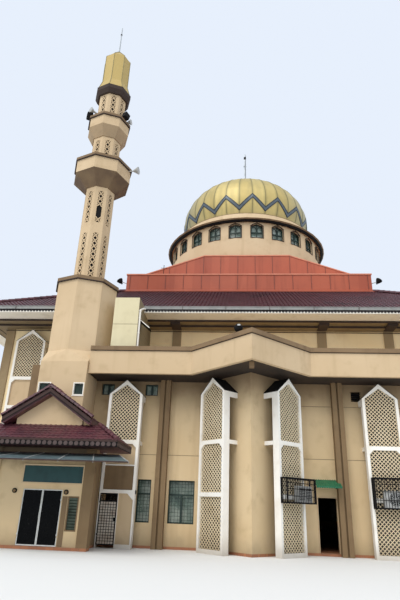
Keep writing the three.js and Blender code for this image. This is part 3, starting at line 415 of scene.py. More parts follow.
class Shape:
    # faces gathered in the row frame, made into one piece at the end
    def __init__(self, turn=None):
        self.points, self.faces, self.marks = [], [], []
        self.turn = turn or Matrix.Identity(4)
        self.mark = 0

    def add(self, points, faces):
        first = len(self.points)
        self.points += [tuple(self.turn @ Vector(point)) for point in points]
        self.faces += [tuple(first + corner for corner in face) for face in faces]
        self.marks += [self.mark] * len(faces)

    def extrude(self, outline, away):
        # flat outline given depth
        count = len(outline)
        points = [Vector(point) for point in outline]
        points += [point + Vector(away) for point in points]
        sides = [(i, (i + 1) % count, (i + 1) % count + count, i + count) for i in range(count)]
        self.add(points, [tuple(range(count))[::-1], tuple(range(count, 2 * count)), *sides])

    def block(self, x0, x1, y0, y1, z0, z1):
        self.extrude([(x0, y0, z0), (x1, y0, z0), (x1, y1, z0), (x0, y1, z0)], (0, 0, z1 - z0))

    def blocks(self, boxes):
        for box in boxes:
            self.block(*box)

    def panel(self, outline, y0, y1):
        # front view outline, x by z
        self.extrude([(x, y0, z) for x, z in outline], (0, y1 - y0, 0))

    def frame(self, outer, inner, y0, y1):
        # plate between two outlines of the same number of corners
        count = len(outer)
        points = [(x, y, z) for y in (y0, y1) for x, z in [*outer, *inner]]
        faces = []
        for i in range(count):
            j = (i + 1) % count
            faces += [
                (i, j, j + count, i + count), (i + 2 * count, i + 3 * count, j + 3 * count, j + 2 * count),
                (i, i + 2 * count, j + 2 * count, j), (i + count, j + count, j + 3 * count, i + 3 * count)]
        self.add(points, faces)

    def ring(self, x, z, radius, hole, sides, y0, y1):
        # flat round frame in front view, its hole a share of its radius
        angles = [2 * math.pi * k / sides for k in range(sides)]
        outer, inner = (
            [(x + r * math.cos(a), z + r * math.sin(a)) for a in angles] for r in (radius, radius * hole))
        self.frame(outer, inner, y0, y1)

    def bar(self, start, end, wide, deep, side=(0, 1, 0)):
        # straight bar, wide across and deep along side
        start, end = Vector(start), Vector(end)
        along = (end - start).normalized()
        inward = (Vector(side) - along * along.dot(Vector(side))).normalized() * deep / 2
        across = along.cross(inward.normalized()) * wide / 2
        corners = [start + a * across + b * inward for a, b in ((1, 1), (-1, 1), (-1, -1), (1, -1))]
        self.extrude(corners, end - start)

    def lathe(self, profile, sides, centre=(0, 0), turnBy=0.0, closed=False):
        # radius by height, turned about an upright axis with a corner towards the front
        rows = len(profile)
        points, faces = [], []
        for i in range(sides):
            angle = 2 * math.pi * i / sides + turnBy
            x, y = math.sin(angle), -math.cos(angle)
            points += [(centre[0] + radius * x, centre[1] + radius * y, height) for radius, height in profile]
            j = (i + 1) % sides
            for k in range(rows if closed else rows - 1):
                n = (k + 1) % rows
                faces.append((i * rows + k, j * rows + k, j * rows + n, i * rows + n))
        self.add(points, faces)

    def rod(self, start, end, radius, sides=8, tip=None):
        # round rod, or a cone when its tip has another radius
        start, end = Vector(start), Vector(end)
        along = (end - start).normalized()
        first = along.orthogonal().normalized()
        second = along.cross(first)
        points = []
        for centre, reach in ((start, radius), (end, radius if tip is None else tip)):
            for i in range(sides):
                angle = 2 * math.pi * i / sides
                points.append(centre + first * math.cos(angle) * reach + second * math.sin(angle) * reach)
        faces = [(i, (i + 1) % sides, (i + 1) % sides + sides, i + sides) for i in range(sides)]
        self.add(points, [*faces, tuple(range(sides))[::-1], tuple(range(sides, 2 * sides))])

    def make(self, name, slot, finishes=None, body='building', replaces=(), smooth=None, bevel=0.0):
        mesh = bpy.data.meshes.new(name)
        mesh.from_pydata(self.points, [], self.faces)
        for finish in finishes or [slot]:
            mesh.materials.append(looks[finish].material)
        mesh.polygons.foreach_set('material_index', self.marks)
        mesh.update()
        piece = bpy.data.objects.new(name, mesh)
        scene.collection.objects.link(piece)
        if smooth is not None:
            mesh.polygons.foreach_set('use_smooth', [True] * len(mesh.polygons))
            mesh.set_sharp_from_angle(angle=math.radians(smooth))
        if bevel:
            rounding = piece.modifiers.new('soft_edges', 'BEVEL')
            rounding.width = bevel
            rounding.segments = 1
            rounding.limit_method = 'ANGLE'
        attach(piece, body)
        if replaces:
            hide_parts(*replaces)


def placed(degrees=0.0, x=0.0, y=0.0, z=0.0, axis='Z'):
    # turned about an axis, then moved
    return Matrix.Translation((x, y, z)) @ Matrix.Rotation(math.radians(degrees), 4, axis)


frontWall = -14.8
hallHalf = 12.5
wallTurns = {
    'front': placed(y=frontWall), 'right': placed(90, x=hallHalf), 'left': placed(-90, x=-hallHalf),
    'back': placed(180, y=hallHalf)}


def rect(x0, x1, z0, z1):
    return [(x0, z0), (x1, z0), (x1, z1), (x0, z1)]


def evenly(start, end, pitch):
    # places between two ends, about a pitch apart
    count = max(1, round((end - start) / pitch))
    return [start + (end - start) * k / count for k in range(1, count)]


def clip(outline, keep):
    # part of a convex outline where keep(point) is not negative
    kept = []
    for i, point in enumerate(outline):
        last = outline[i - 1]
        here, there = keep(point), keep(last)
        if (here >= 0) != (there >= 0):
            share = there / (there - here)
            kept.append(tuple(a + (b - a) * share for a, b in zip(last, point)))
        if here >= 0:
            kept.append(point)
    return kept


def inside(outline, shape):
    # outline cut to a convex shape whose corners run anticlockwise
    for i, (x1, z1) in enumerate(shape):
        x0, z0 = shape[i - 1]
        outline = clip(outline, lambda p: (x1 - x0) * (p[1] - z0) - (z1 - z0) * (p[0] - x0))
        if len(outline) < 3:
            return []
    return outline


def offsetPath(path, by):
    # plan path moved sideways, to its right for a positive distance, with mitred corners
    moved = []
    for i, point in enumerate(path):
        here = Vector(point)
        into = (here - Vector(path[i - 1])).normalized() if i else None
        out = (Vector(path[i + 1]) - here).normalized() if i + 1 < len(path) else None
        into, out = into or out, out or into
        normal = Vector((into.y + out.y, -into.x - out.x)).normalized()
        stretch = by / max(0.3, normal.dot(Vector((into.y, -into.x))))
        moved.append(tuple(here + normal * stretch))
    return moved


def strip(shape, path, out, inward, z0, z1):
    # band that follows a plan path, from out to inward of it
    outer, inner = offsetPath(path, out), offsetPath(path, inward)
    count = len(path)
    points = [(x, y, z) for z in (z0, z1) for x, y in [*outer, *inner]]
    faces = [(0, count, 3 * count, 2 * count), (count - 1, 3 * count - 1, 4 * count - 1, 2 * count - 1)]
    for i in range(count - 1):
        j = i + 1
        faces += [(i, j, j + 2 * count, i + 2 * count), (i + count, i + 3 * count, j + 3 * count, j + count)]
        faces += [(i, i + count, j + count, j), (i + 2 * count, j + 2 * count, j + 3 * count, i + 3 * count)]
    shape.add(points, faces)


# Lattice screens: a bay's heights from the floor, and depths behind its face

screen = {
    'half': 0.71, 'post': 0.11, 'foot': 0.0, 'low': 1.94, 'mid': 3.86, 'shoulder': 5.89, 'apex': 6.5,
    'band': 0.15, 'depth': 0.3, 'off': 0.74, 'drop': 0.19, 'chamfer': 0.16, 'arm': 0.22, 'board': 0.07,
    'shadeBacking': (0.15, 0.154), 'panel': (0.09, 0.14), 'return': (0.295, 0.738),
}
wing = {
    **screen, 'foot': 2.9, 'low': 5.65, 'mid': 7.07, 'shoulder': 9.06, 'apex': 9.67, 'off': 0.45,
    'half': 0.76, 'return': (0.295, 0.448)}
lattice = {'pitch': 0.15, 'bar': 0.031, 'back': 0.05, 'thick': 0.015}
bayFinishes = ['screen_paint', 'lattice_paint', 'cream_render', 'black_paint', 'brown_paint']


def behind(s, depths):
    # two depths behind a screen's face, as places in front of the wall
    return [depth - s['off'] for depth in depths]


def latticeSheet(shape, region, face):
    # two layers of slanting bars cut to the opening
    xs, zs = zip(*region)
    low, high, left, right = min(zs), max(zs), min(xs), max(xs)
    half = lattice['bar'] / math.sqrt(2)
    reach = high - low + 1
    count = math.ceil((right - left + high - low) / lattice['pitch'])
    for side in (1, -1):
        y0 = face + lattice['back'] + (lattice['thick'] if side > 0 else 0.0)
        for i in range(-count, count + 1):
            foot = (left + right) / 2 + (i + 0.5) * lattice['pitch']
            head = foot + side * reach
            top = low + reach
            band = [(foot - half, low), (foot + half, low), (head + half, top), (head - half, top)]
            piece = inside(band, region)
            if piece:
                shape.panel(piece, y0, y0 + lattice['thick'])


def screenRegions(s):
    # the openings between the bands, from the top down
    inset, chamfer = s['half'] - s['post'], s['chamfer']
    foot, low, mid, top = s['foot'] + s['band'], s['low'] + s['band'], s['mid'], s['mid'] + s['band']
    peak = s['apex'] - s['drop']
    return (
        [(-inset, top), (inset, top), (inset, s['shoulder']), (0, peak), (-inset, s['shoulder'])],
        [(-inset, low), (inset, low), (inset, mid - chamfer), (inset - chamfer, mid), (chamfer - inset, mid),
         (-inset, mid - chamfer)],
        rect(-inset, inset, foot, s['low']))


def screenFrame(shape, s, bands=('foot', 'low', 'mid')):
    # posts, bands, peaked hood and the braces back to the wall
    w, shoulder, apex, mid = s['half'], s['shoulder'], s['apex'], s['mid']
    inset, arm = w - s['post'], w - s['board']
    front, back = behind(s, (0, s['depth'])), behind(s, s['return'])
    for side in (-1, 1):
        shape.panel(rect(*sorted((side * w, side * inset)), s['foot'], shoulder), *front)
        hood = [(side * w, shoulder), (0, apex), (0, apex - s['drop']), (side * inset, shoulder)]
        shape.panel(hood[::side], *front)
        brace = [
            (side * w, shoulder - s['arm']), (side * arm, shoulder - s['arm']), (side * arm, shoulder - 0.04),
            (0, apex - 0.11), (0, apex), (side * w, shoulder)]
        shape.panel(brace[::side], *back)
        shape.panel(rect(*sorted((side * w, side * arm)), mid, mid + s['band']), *back)
        edge, cut = side * inset, side * (inset - s['chamfer'])
        shape.panel([(edge, mid - s['chamfer']), (edge, mid), (cut, mid)][::side], *front)
    for band in bands:
        shape.panel(rect(-inset, inset, s[band], s[band] + s['band']), *front)


def hoodCover(shape, s):
    # dark strip laid over the top of the peaked hood
    w, low, apex = s['half'] + 0.01, s['shoulder'] - 0.01, s['apex']
    for side in (-1, 1):
        cover = [(side * w, low), (side * w, low + 0.022), (0, apex + 0.022), (0, apex)]
        shape.panel(cover[::side], -s['off'] - 0.01, -0.004)


def addScreen(name, turn, s, shadeBacking, panels=()):
    shape, shadeBackings = Shape(turn), Shape(turn)
    screenFrame(shape, s)
    for i, region in enumerate(screenRegions(s)):
        if i in panels:
            shape.mark = 2
            shape.panel(region, *behind(s, s['panel']))
        else:
            shape.mark = 1
            latticeSheet(shape, region, -s['off'])
            # a dark sheet behind the lattice: painted shade, seen through the holes
            shadeBackings.panel(region, *behind(s, s['shadeBacking']))
    shape.mark = 3
    hoodCover(shape, s)
    shape.make(name + '_lattice', 'white_paint', bayFinishes[:4], replaces=[name])
    shadeBackings.make(name + '_shade_backing', 'dark_paint', [shadeBacking])


bays = {'right': 5.26, 'prow': 2.19, 'apex': 1.9, 'wing': -11.02}
along = (bays['prow'] - screen['off']) / math.sqrt(2)
rightTurn = wallTurns['front'] @ placed(x=bays['right'])
leftProw, rightProw = (
    wallTurns['front'] @ placed(45 * side, side * along, along - bays['apex']) for side in (-1, 1))
addScreen('screen_right', rightTurn, screen, 'dark_shade_backing')
addScreen('screen_prow_left', leftProw, screen, 'brown_shade_backing')
addScreen('screen_prow_right', rightProw, screen, 'brown_shade_backing')
addScreen('screen_wing', placed(x=bays['wing'], y=-hallHalf), wing, 'dark_shade_backing', panels=(1,))

# The screen over the side door, and its grille

hinge = {
    'radius': 0.011, 'high': 0.06, 'plate': 0.005, 'reach': 0.04, 'clear': 0.008, 'at': (0.45, 1.6),
    'gap': 0.0003, 'bore': 0.0005}
sideDoor = {
    'left': -5.93, 'right': -5.215, 'head': 1.96, 'clear': 0.008, 'foot': 0.11, 'crest': 1.66, 'pitch': 0.1,
    'rim': 0.04, 'lap': 0.03, 'bar': 0.009, 'scrolls': ((0.06, 0.07), (0.038, 0.19)), 'pin': 0.004}
entrance = {
    'x': -5.26, 'foot': 2.0, 'plinth': 0.15, 'stile': 0.06, 'bead': 0.02, 'lintel': 2.09, 'panel': 3.0,
    'rail': 3.05, 'corner': 0.24}


def addKnuckles(shape, x, y, side, depth, lifted):
    # lift-off hinge: barrels with a strap back to the leaf or the jamb
    h = hinge
    for at in h['at']:
        z0 = at + (h['gap'] if lifted else -h['high'])
        z1 = z0 + h['high']
        shape.lathe([(h['bore'], z0), (h['radius'], z0), (h['radius'], z1), (h['bore'], z1)], 12, (x, y))
        for start, y0, y1 in ((0, -h['plate'], h['plate']), (h['clear'], h['plate'], depth)):
            xs = sorted((x + side * start, x + side * h['reach']))
            shape.block(*xs, y + y0, y + y1, z0 + h['clear'], z1 - h['clear'])


def addEntranceScreen():
    # above the side door: a brown panel, a beige one with cut corners, then lattice
    s, e = screen, entrance
    shape, shadeBacking = (Shape(wallTurns['front'] @ placed(x=e['x'])) for i in range(2))
    w, face, back = s['half'], -s['off'], s['depth'] - s['off']
    inset, edge, head = w - s['post'], w - e['stile'], sideDoor['head']
    left, right = sideDoor['left'] - e['x'], sideDoor['right'] - e['x']
    screenFrame(shape, {**s, 'foot': e['foot']}, bands=('mid',))
    for x0, x1, z0, z1, proud in (
            (-w, left, 0.0, e['foot'], 0.0), (right, w, 0.0, e['plinth'], 0.0),
            (edge, w, e['plinth'], e['foot'], 0.0), (right, right + e['bead'], e['plinth'], e['foot'], 0.0),
            (-w, w, head, e['lintel'], 0.004), (-inset, inset, e['panel'], e['rail'], -0.03)):
        shape.panel(rect(x0, x1, z0, z1), face - proud, back)
    shape.panel([(edge, head - e['corner']), (edge, head), (edge - e['corner'], head)], face, back)
    lights, chamfered = screenRegions({**s, 'low': e['rail'] - s['band']})[:2]
    shape.mark = 1
    latticeSheet(shape, lights, face)
    for mark, outline, depth in (
            (2, rect(right + e['bead'], edge, e['plinth'], head), 0.05), (2, chamfered, 0.08),
            (4, rect(-inset, inset, e['lintel'], e['panel']), 0.06)):
        shape.mark = mark
        shape.panel(outline, face + depth, back - 0.05)
    shape.mark = 3
    hoodCover(shape, s)
    shape.turn, shape.mark = placed(), 0
    addKnuckles(shape, sideDoor['left'] + sideDoor['pin'], frontWall + face - 0.017, -1, 0.018, False)
    shape.make('screen_entrance_lattice', 'white_paint', bayFinishes, replaces=['screen_entrance'])
    # a dark sheet behind the lattice: painted shade, seen through the holes
    shadeBacking.panel(lights, *behind(s, s['shadeBacking']))
    shadeBacking.make('screen_entrance_shade_backing', 'dark_paint', ['dark_shade_backing'])


def addGrille():
    # dark frame and bars over a pale sheet, with scrolls along the top
    d = sideDoor
    left, right, top = d['left'] + d['clear'], d['right'] - d['clear'], d['head'] - d['clear']
    foot, crest, rim, lap, bar = (d[key] for key in ('foot', 'crest', 'rim', 'lap', 'bar'))
    y0 = frontWall - screen['off'] + 0.002
    leaf, mesh = Shape(), Shape()
    hole = rect(left + rim, right - rim, foot + rim, top - rim)
    leaf.frame(rect(left, right, foot, top), hole, y0, y0 + 0.025)
    leaf.blocks([
        (left + lap, right - lap, y0 + 0.002, y0 + 0.023, crest - 0.02, crest + 0.02),
        (right - 0.1, right - rim, y0 - 0.012, y0 + 0.02, 0.96, 1.08)])  # rail, lock
    for i in range(4):
        middle = left + (right - left) * (i + 0.5) / 4
        for radius, lift in d['scrolls']:
            leaf.ring(middle, crest + lift, radius, 0.78, 16, y0 + 0.004, y0 + 0.018)
    addKnuckles(leaf, d['left'] + d['pin'], y0 - 0.019, 1, 0.02, True)
    leaf.make('side_door_frame', 'white_paint', ['black_paint'], body='side_door')
    mesh.block(left + lap, right - lap, y0 + 0.018, y0 + 0.022, foot + lap, crest)
    mesh.mark = 1
    for x in evenly(left + rim, right - rim, d['pitch']):
        mesh.block(x - bar, x + bar, y0 + 0.006, y0 + 0.018, foot + lap, crest)
    for z in evenly(foot + rim, crest - 0.02, d['pitch']):
        mesh.block(left + lap, right - lap, y0 + 0.004, y0 + 0.012, z - bar, z + bar)
    finishes = ['door_sheet', 'black_paint']
    mesh.make('side_door_mesh', 'white_paint', finishes, body='side_door', replaces=['side_door_grille'])


addEntranceScreen()
addGrille()
print('screens built')

# Roof tiles

tiles = {'wide': 0.2, 'show': 0.32, 'roll': 0.026, 'butt': 0.05, 'tail': 0.022, 'lap': 0.02}
tileWave = [(0.0, 0.0), (0.16, 0.35), (0.34, 1.0), (0.52, 1.0), (0.7, 0.35), (0.84, 0.0)]


def tileSlope(shape, eaveLeft, eaveRight, topLeft, topRight, t=tiles):
    # courses of rolled tiles over a slope, trimmed at its slanting ends
    eaveLeft, eaveRight, topLeft, topRight = (Vector(p) for p in (eaveLeft, eaveRight, topLeft, topRight))
    across = (eaveRight - eaveLeft).normalized()
    upward = topLeft - eaveLeft
    upward = upward - across * upward.dot(across)
    length = upward.length
    upward.normalize()
    normal = across.cross(upward)
    courses = max(1, round(length / t['show']))
    show = length / courses
    wide = (eaveRight - eaveLeft).dot(across)
    leftGo = (topLeft - eaveLeft).dot(across) / length
    rightGo = (topRight - eaveRight).dot(across) / length
    columns = math.ceil(wide / 2 / t['wide']) + 1
    stations = [(wide / 2 + (column + share) * t['wide'], height * t['roll'])
                for column in range(-columns, columns) for share, height in tileWave]
    count = len(stations)
    for course in range(courses):
        s0 = course * show
        s1 = min(length, s0 + show + t['lap'])
        ends = [(leftGo * s, wide + rightGo * s) for s in (s0, s1)]
        rows = [[], [], []]
        for x, height in stations:
            low, high = (min(max(x, left), right) for left, right in ends)
            base = eaveLeft + across * low + upward * s0
            rows[0].append(base - normal * 0.002)
            rows[1].append(base + normal * (t['butt'] + height))
            rows[2].append(eaveLeft + across * high + upward * s1 + normal * (t['tail'] + height))
        left, right = min(ends[0][0], ends[1][0]), max(ends[0][1], ends[1][1])
        faces = []
        for i in range(count - 1):
            if stations[i + 1][0] > left and stations[i][0] < right:
                faces.append((i, i + 1, count + i + 1, count + i))
                faces.append((count + i, count + i + 1, 2 * count + i + 1, 2 * count + i))
        shape.add([*rows[0], *rows[1], *rows[2]], faces)


def ridgeTiles(shape, start, end, radius=0.13, length=0.36):
    # overlapping half-round tiles along a hip or ridge
    lift, lap, segments = 0.02, 0.03, 8
    start, end = Vector(start), Vector(end)
    along = (end - start).normalized()
    side = along.cross(Vector((0, 0, 1))).normalized()
    up = side.cross(along)
    count = max(1, round((end - start).length / length))
    step = (end - start).length / count
    for i in range(count):
        a, b = start + along * (i * step), start + along * ((i + 1) * step + lap)
        points = []
        for centre, reach in ((a, radius + 0.02), (b, radius)):
            for j in range(segments + 1):
                angle = math.pi * j / segments
                points.append(centre + side * math.cos(angle) * reach + up * (math.sin(angle) * reach + lift))
        foot = len(points)
        points += [a + up * (lift - 0.06) + side * (way * (radius + 0.02)) for way in (1, -1)]
        faces = [(j, j + 1, segments + 2 + j, segments + 1 + j) for j in range(segments)]
        shape.add(points, [*faces, (*range(segments + 1), foot + 1, foot)])


mainRoof = {'eave': 14.4, 'eaveTop': 10.33, 'top': 7.73, 'ridge': 14.1, 'hip': (14.36, 10.36, 7.78, 14.12)}


def addMainRoof():
    eave, eaveTop, top, ridge = (mainRoof[key] for key in ('eave', 'eaveTop', 'top', 'ridge'))
    low, lowTop, high, highTop = mainRoof['hip']
    hips = Shape()
    for quarter, name in enumerate(('front', 'right', 'back', 'left')):
        slope = Shape(placed(90 * quarter))
        eaves, tops = ([(side * x, -x, z) for side in (-1, 1)] for x, z in ((eave, eaveTop), (top, ridge)))
        tileSlope(slope, *eaves, *tops)
        slope.make('roof_tiles_' + name, 'roof_tile', smooth=40)
        hips.turn = slope.turn
        ridgeTiles(hips, (low, -low, lowTop), (high, -high, highTop))
    hips.make('roof_hip_tiles', 'roof_tile', smooth=50)


addMainRoof()
print('roof tiled')

# Eave: gutter, scalloped tile ends and stepped boards; a band is outer and inner half width, foot and top

eave = {
    'half': 14.4, 'scallop': 0.15, 'tongue': (0.06, 10.2, 10.06, -14.535, -14.52, 4),
    'joints': 14, 'joint': 2.05, 'firstJoint': -13.4, 'strap': 0.012,
    'pilasters': (-3.62, 3.62, 6.85),
    'lamp': [(0.24, -13.5, -12.62, 9.84, 9.948), (0.2, -13.46, -12.66, 9.82, 9.84)],
    'lip': [(14.535, 14.52, 10.13, 10.2)],
    'gutter': [
        (14.56, 14.41, 10.19, 10.205), (14.56, 14.545, 10.19, 10.33), (14.575, 14.53, 10.318, 10.345),
        (14.57, 14.55, 10.185, 10.2)],
    'boards': [(13.55, 12.6, 9.95, 10.028), (13.05, 12.6, 9.86, 9.95)],
    'edges': [(13.57, 13.54, 9.93, 10.028), (13.07, 13.04, 9.84, 9.93), (12.61, 12.58, 9.74, 9.77)],
}


def squareRing(shape, profile):
    # closed profile, half width by height, carried round a square
    count = len(profile)
    corners = ((-1, -1), (1, -1), (1, 1), (-1, 1))
    points = [(x * half, y * half, z) for x, y in corners for half, z in profile]
    faces = []
    for i in range(4):
        a, b = i * count, (i + 1) % 4 * count
        for k in range(count):
            n = (k + 1) % count
            faces.append((a + k, b + k, b + n, a + n))
    shape.add(points, faces)


def squareBands(shape, bands, mark=0):
    shape.mark = mark
    for outer, inner, z0, z1 in bands:
        squareRing(shape, [(outer, z0), (outer, z1), (inner, z1), (inner, z0)])


def scallop(shape, x, half, top, foot, y0, y1, steps=6):
    # one rounded tongue that hangs from top
    angles = [math.pi * k / steps for k in range(steps + 1)]
    drop = [(x - half * math.cos(a), foot + half - half * math.sin(a)) for a in angles]
    shape.panel([(x - half, top), *drop, (x + half, top)], y0, y1)


def addEave():
    gutter, ends, steps, lamps = (Shape() for i in range(4))
    squareBands(gutter, eave['gutter'])
    gutter.mark = 1
    for quarter in range(4):
        gutter.turn = ends.turn = placed(90 * quarter)
        for k in range(eave['joints']):
            x = eave['firstJoint'] + eave['joint'] * k
            gutter.block(x - eave['strap'], x + eave['strap'], -14.58, -eave['half'], 10.18, 10.347)
        for k in range(round(2 * eave['half'] / eave['scallop'])):
            scallop(ends, -eave['half'] + eave['scallop'] * (k + 0.5), *eave['tongue'])
    ends.turn = placed()
    gutter.make('eave_gutter', 'white_paint', ['gutter_paint', 'tile_rim'])
    squareBands(ends, eave['lip'])
    # the scalloped tile ends and their lip are near black: painted shade under the roof's edge
    ends.make('eave_tile_ends', 'roof_tile', ['tile_edge_shade'])
    squareBands(steps, eave['boards'])
    squareBands(steps, eave['edges'], 1)
    steps.make('eave_stepped_boards', 'brown_paint', ['eave_board_paint', 'dark_trim_paint'])
    for x in eave['pilasters']:
        lamps.blocks([(x - half, x + half, *rest) for half, *rest in eave['lamp']])
    lamps.make('eave_lamp_boxes', 'dark_paint', ['dark_trim_paint'], bevel=0.008)


addEave()
print('eave trimmed')

# Clad tiers

square = {'half': 6.8, 'face': 2.8166, 'top': 17.19, 'corner': 15.77, 'foot': 15.37, 'cap': 0.07, 'ribs': 5}
lowerTier = {
    'half': 7.73, 'foot': 14.2, 'top': 15.3, 'line': (-7.77, 7.77, -7.77, -7.72, 14.13, 14.16),
    'apron': [(7.985, 14.05), (7.745, 14.3), (7.73, 14.285), (7.975, 14.04)],
    'cap': [(7.775, 7.5, 15.31, 15.385)]}
aerial = {'x': -5.42, 'y': -7.4, 'top': 16.2, 'arm': 0.2, 'armHeight': 15.98}


def upperEdge(x):
    # height of the upper tier's front face at x
    s = square
    return s['top'] - max(0.0, abs(x) - s['face']) * (s['top'] - s['corner']) / (s['half'] - s['face'])


def addTiers():
    seams, caps, apron, mast = (Shape() for i in range(4))
    t, s, low = tier, square, lowerTier
    thin, half, foot, face, lowFace = t['seam'], s['half'], s['foot'], s['face'], low['half']
    for quarter in range(4):
        seams.turn = caps.turn = placed(90 * quarter)
        for k in range(-7, 7):
            x = t['pitch'] * (k + 0.5)
            seams.block(x - thin, x + thin, -lowFace - t['proud'], 0.01 - lowFace, low['foot'], low['top'])
        for k in range(-6, 6):
            x = t['upperPitch'] * (k + 0.5)
            seams.block(x - thin, x + thin, -half - t['proud'], 0.01 - half, foot, upperEdge(x) - 0.03)
        seams.block(*low['line'])
        seams.block(-6.83, 6.83, -6.83, -6.78, foot, foot + 0.05)
        a, b = Vector((face, -half, s['top'])), Vector((half, -face, s['top']))
        c = Vector((half, -half, s['corner']))
        across, down = b - a, c - (a + b) / 2
        out = across.cross(down).normalized() * -1
        for k in range(1, s['ribs']):
            share = k / s['ribs']
            top = a + across * share
            seams.bar(top, top + down * (1 - abs(2 * share - 1)), 2 * thin, 2 * t['proud'], out)
        for start, end in (((-face, -half, s['top']), a), (a, b), (a, c), (b, c)):
            caps.bar(start, end, s['cap'], s['cap'], (0, 0, 1))
    seams.make('tier_seams', 'sheet_cladding', ['cladding_seam'])
    squareRing(apron, low['apron'])
    apron.make('tier_foot_apron', 'sheet_cladding')
    caps.turn = placed()
    squareBands(caps, low['cap'])
    caps.make('tier_caps', 'sheet_cladding', ['cap_sheet'])
    x, y, arm, high = aerial['x'], aerial['y'], aerial['arm'], aerial['armHeight']
    mast.rod((x, y, foot), (x, y, aerial['top']), 0.02)
    mast.rod((x - arm, y, high), (x + arm, y, high), 0.014)
    mast.block(x - 0.08, x + 0.08, y - 0.08, y + 0.08, foot, foot + 0.02)
    mast.make('tier_aerial', 'dark_paint', ['black_paint'])


addTiers()
print('tiers dressed')

# Drum: window mouldings, glazing bars and cornice lines
# A frame is half width, foot, shoulder and head of its outside and its hole, and its two depths.

drum = {
    'windows': 24, 'sides': 48,
    'mouldings': [
        ((0.485, 19.98, 20.085, 20.35), (0.435, 19.98, 20.07, 20.29), -5.93, -5.885),
        ((0.475, 19.11, 20.08, 20.33), (0.435, 19.155, 20.07, 20.29), -5.91, -5.88)],
    'crest': (-0.02, 0.02, -5.93, -5.885, 20.33, 20.38),
    'sash': ((0.43, 19.16, 20.07, 20.28), (0.38, 19.21, 20.05, 20.22), -5.78, -5.71),
    'bars': [(-0.41, 0.41, -5.785, -5.715, 19.53, 19.59), (-0.022, 0.022, -5.775, -5.715, 19.18, 20.24)],
    'light': ((0.16, 19.62, 19.96, 20.1), (0.13, 19.65, 19.94, 20.06), -5.76, -5.72), 'lightAt': 0.2,
    'lines': [
        [(6.02, 20.326), (6.115, 20.326), (6.24, 20.44), (6.02, 20.44)],
        [(6.02, 20.44), (6.235, 20.44), (6.31, 20.522), (6.02, 20.522)]],
    'rim': [(5.3, 21.415), (5.455, 21.415), (5.47, 21.43), (5.46, 21.45), (5.3, 21.45)],
}


def peaked(half, sill, shoulder, head, at=0.0):
    # low-pitched pointed head on straight jambs
    haunch = shoulder + (head - shoulder) * 0.55
    outline = [
        (-half, sill), (half, sill), (half, shoulder), (half * 0.6, haunch), (0, head), (-half * 0.6, haunch),
        (-half, shoulder)]
    return [(x + at, z) for x, z in outline]


def peakedFrame(shape, outer, inner, y0, y1, at=0.0, first=0):
    shape.frame(peaked(*outer, at)[first:], peaked(*inner, at)[first:], y0, y1)


def addDrum():
    moulding, sashes, lines, rim = (Shape() for i in range(4))
    d = drum
    for i in range(d['windows']):
        moulding.turn = sashes.turn = placed(360 * (i + 0.5) / d['windows'])
        hood, surround = d['mouldings']
        peakedFrame(moulding, *hood, first=2)
        peakedFrame(moulding, *surround)
        moulding.block(*d['crest'])
        peakedFrame(sashes, *d['sash'])
        sashes.blocks(d['bars'])
        for side in (-1, 1):
            peakedFrame(sashes, *d['light'], side * d['lightAt'])
    moulding.make('drum_window_mouldings', 'brown_paint', ['dark_trim_paint'])
    sashes.make('drum_window_sashes', 'dark_paint', ['window_frame_paint'])
    for mark, profile in enumerate(d['lines']):
        lines.mark = mark
        lines.lathe(profile, d['sides'], closed=True)
    lines.make('drum_cornice_lines', 'brown_paint', ['black_paint', 'coping_paint'], smooth=30)
    rim.lathe(d['rim'], d['sides'], closed=True)
    rim.make('dome_foot_line', 'brown_paint', ['coping_paint'], smooth=30)


addDrum()
print('drum dressed')

# Dome: gores, seams, zigzag band and finial

dome = {
    'radius': 5.12, 'rise': 3.92, 'centre': 23.09, 'base': 21.431, 'gores': 32, 'rows': 26, 'shell': 0.16,
    'valley': 22.2, 'peak': 23.23, 'line': 0.08, 'band': 0.115, 'seam': (0.032, 0.026),
    'rod': [((0.07, 0, 27.5), (0.07, 0, 31.1), 0.014), ((0, 0, 29.9), (0.07, 0, 29.9), 0.012)],
    'knob': [(0.001, 30.62), (0.1, 30.68), (0.1, 30.86), (0.001, 30.92)],
}


def domePoint(angle, z, lift=0.0):
    # point on the flat-sided gores, which meet at odd multiples of half a gore
    step = 2 * math.pi / dome['gores']
    middle = round(angle / step) * step
    share = (z - dome['centre']) / dome['rise']
    radius = dome['radius'] * math.sqrt(max(0.0, 1 - share * share))
    radius = radius * math.cos(step / 2) / math.cos(angle - middle) + lift
    return (radius * math.sin(angle), -radius * math.cos(angle), z)


def zigzagLayer(shape, low, high, lift, pieces=5):
    # band between two offsets from the zigzag's middle line
    step = 2 * math.pi / dome['gores']
    points = []
    for i in range(dome['gores'] * pieces):
        gore, part = divmod(i, pieces)
        share = part / pieces
        angle = (gore + 0.5 + share) * step
        z = dome['valley'] + (dome['peak'] - dome['valley']) * (share if gore % 2 else 1 - share)
        for edge in (low, high):
            points += [domePoint(angle, z + edge, -0.01), domePoint(angle, z + edge, lift)]
    faces = []
    for a in range(0, len(points), 4):
        b, c = a + 2, (a + 4) % len(points)
        d = c + 2
        faces += [(a + 1, c + 1, d + 1, b + 1), (a, c, c + 1, a + 1), (b, b + 1, d + 1, d)]
    shape.add(points, faces)


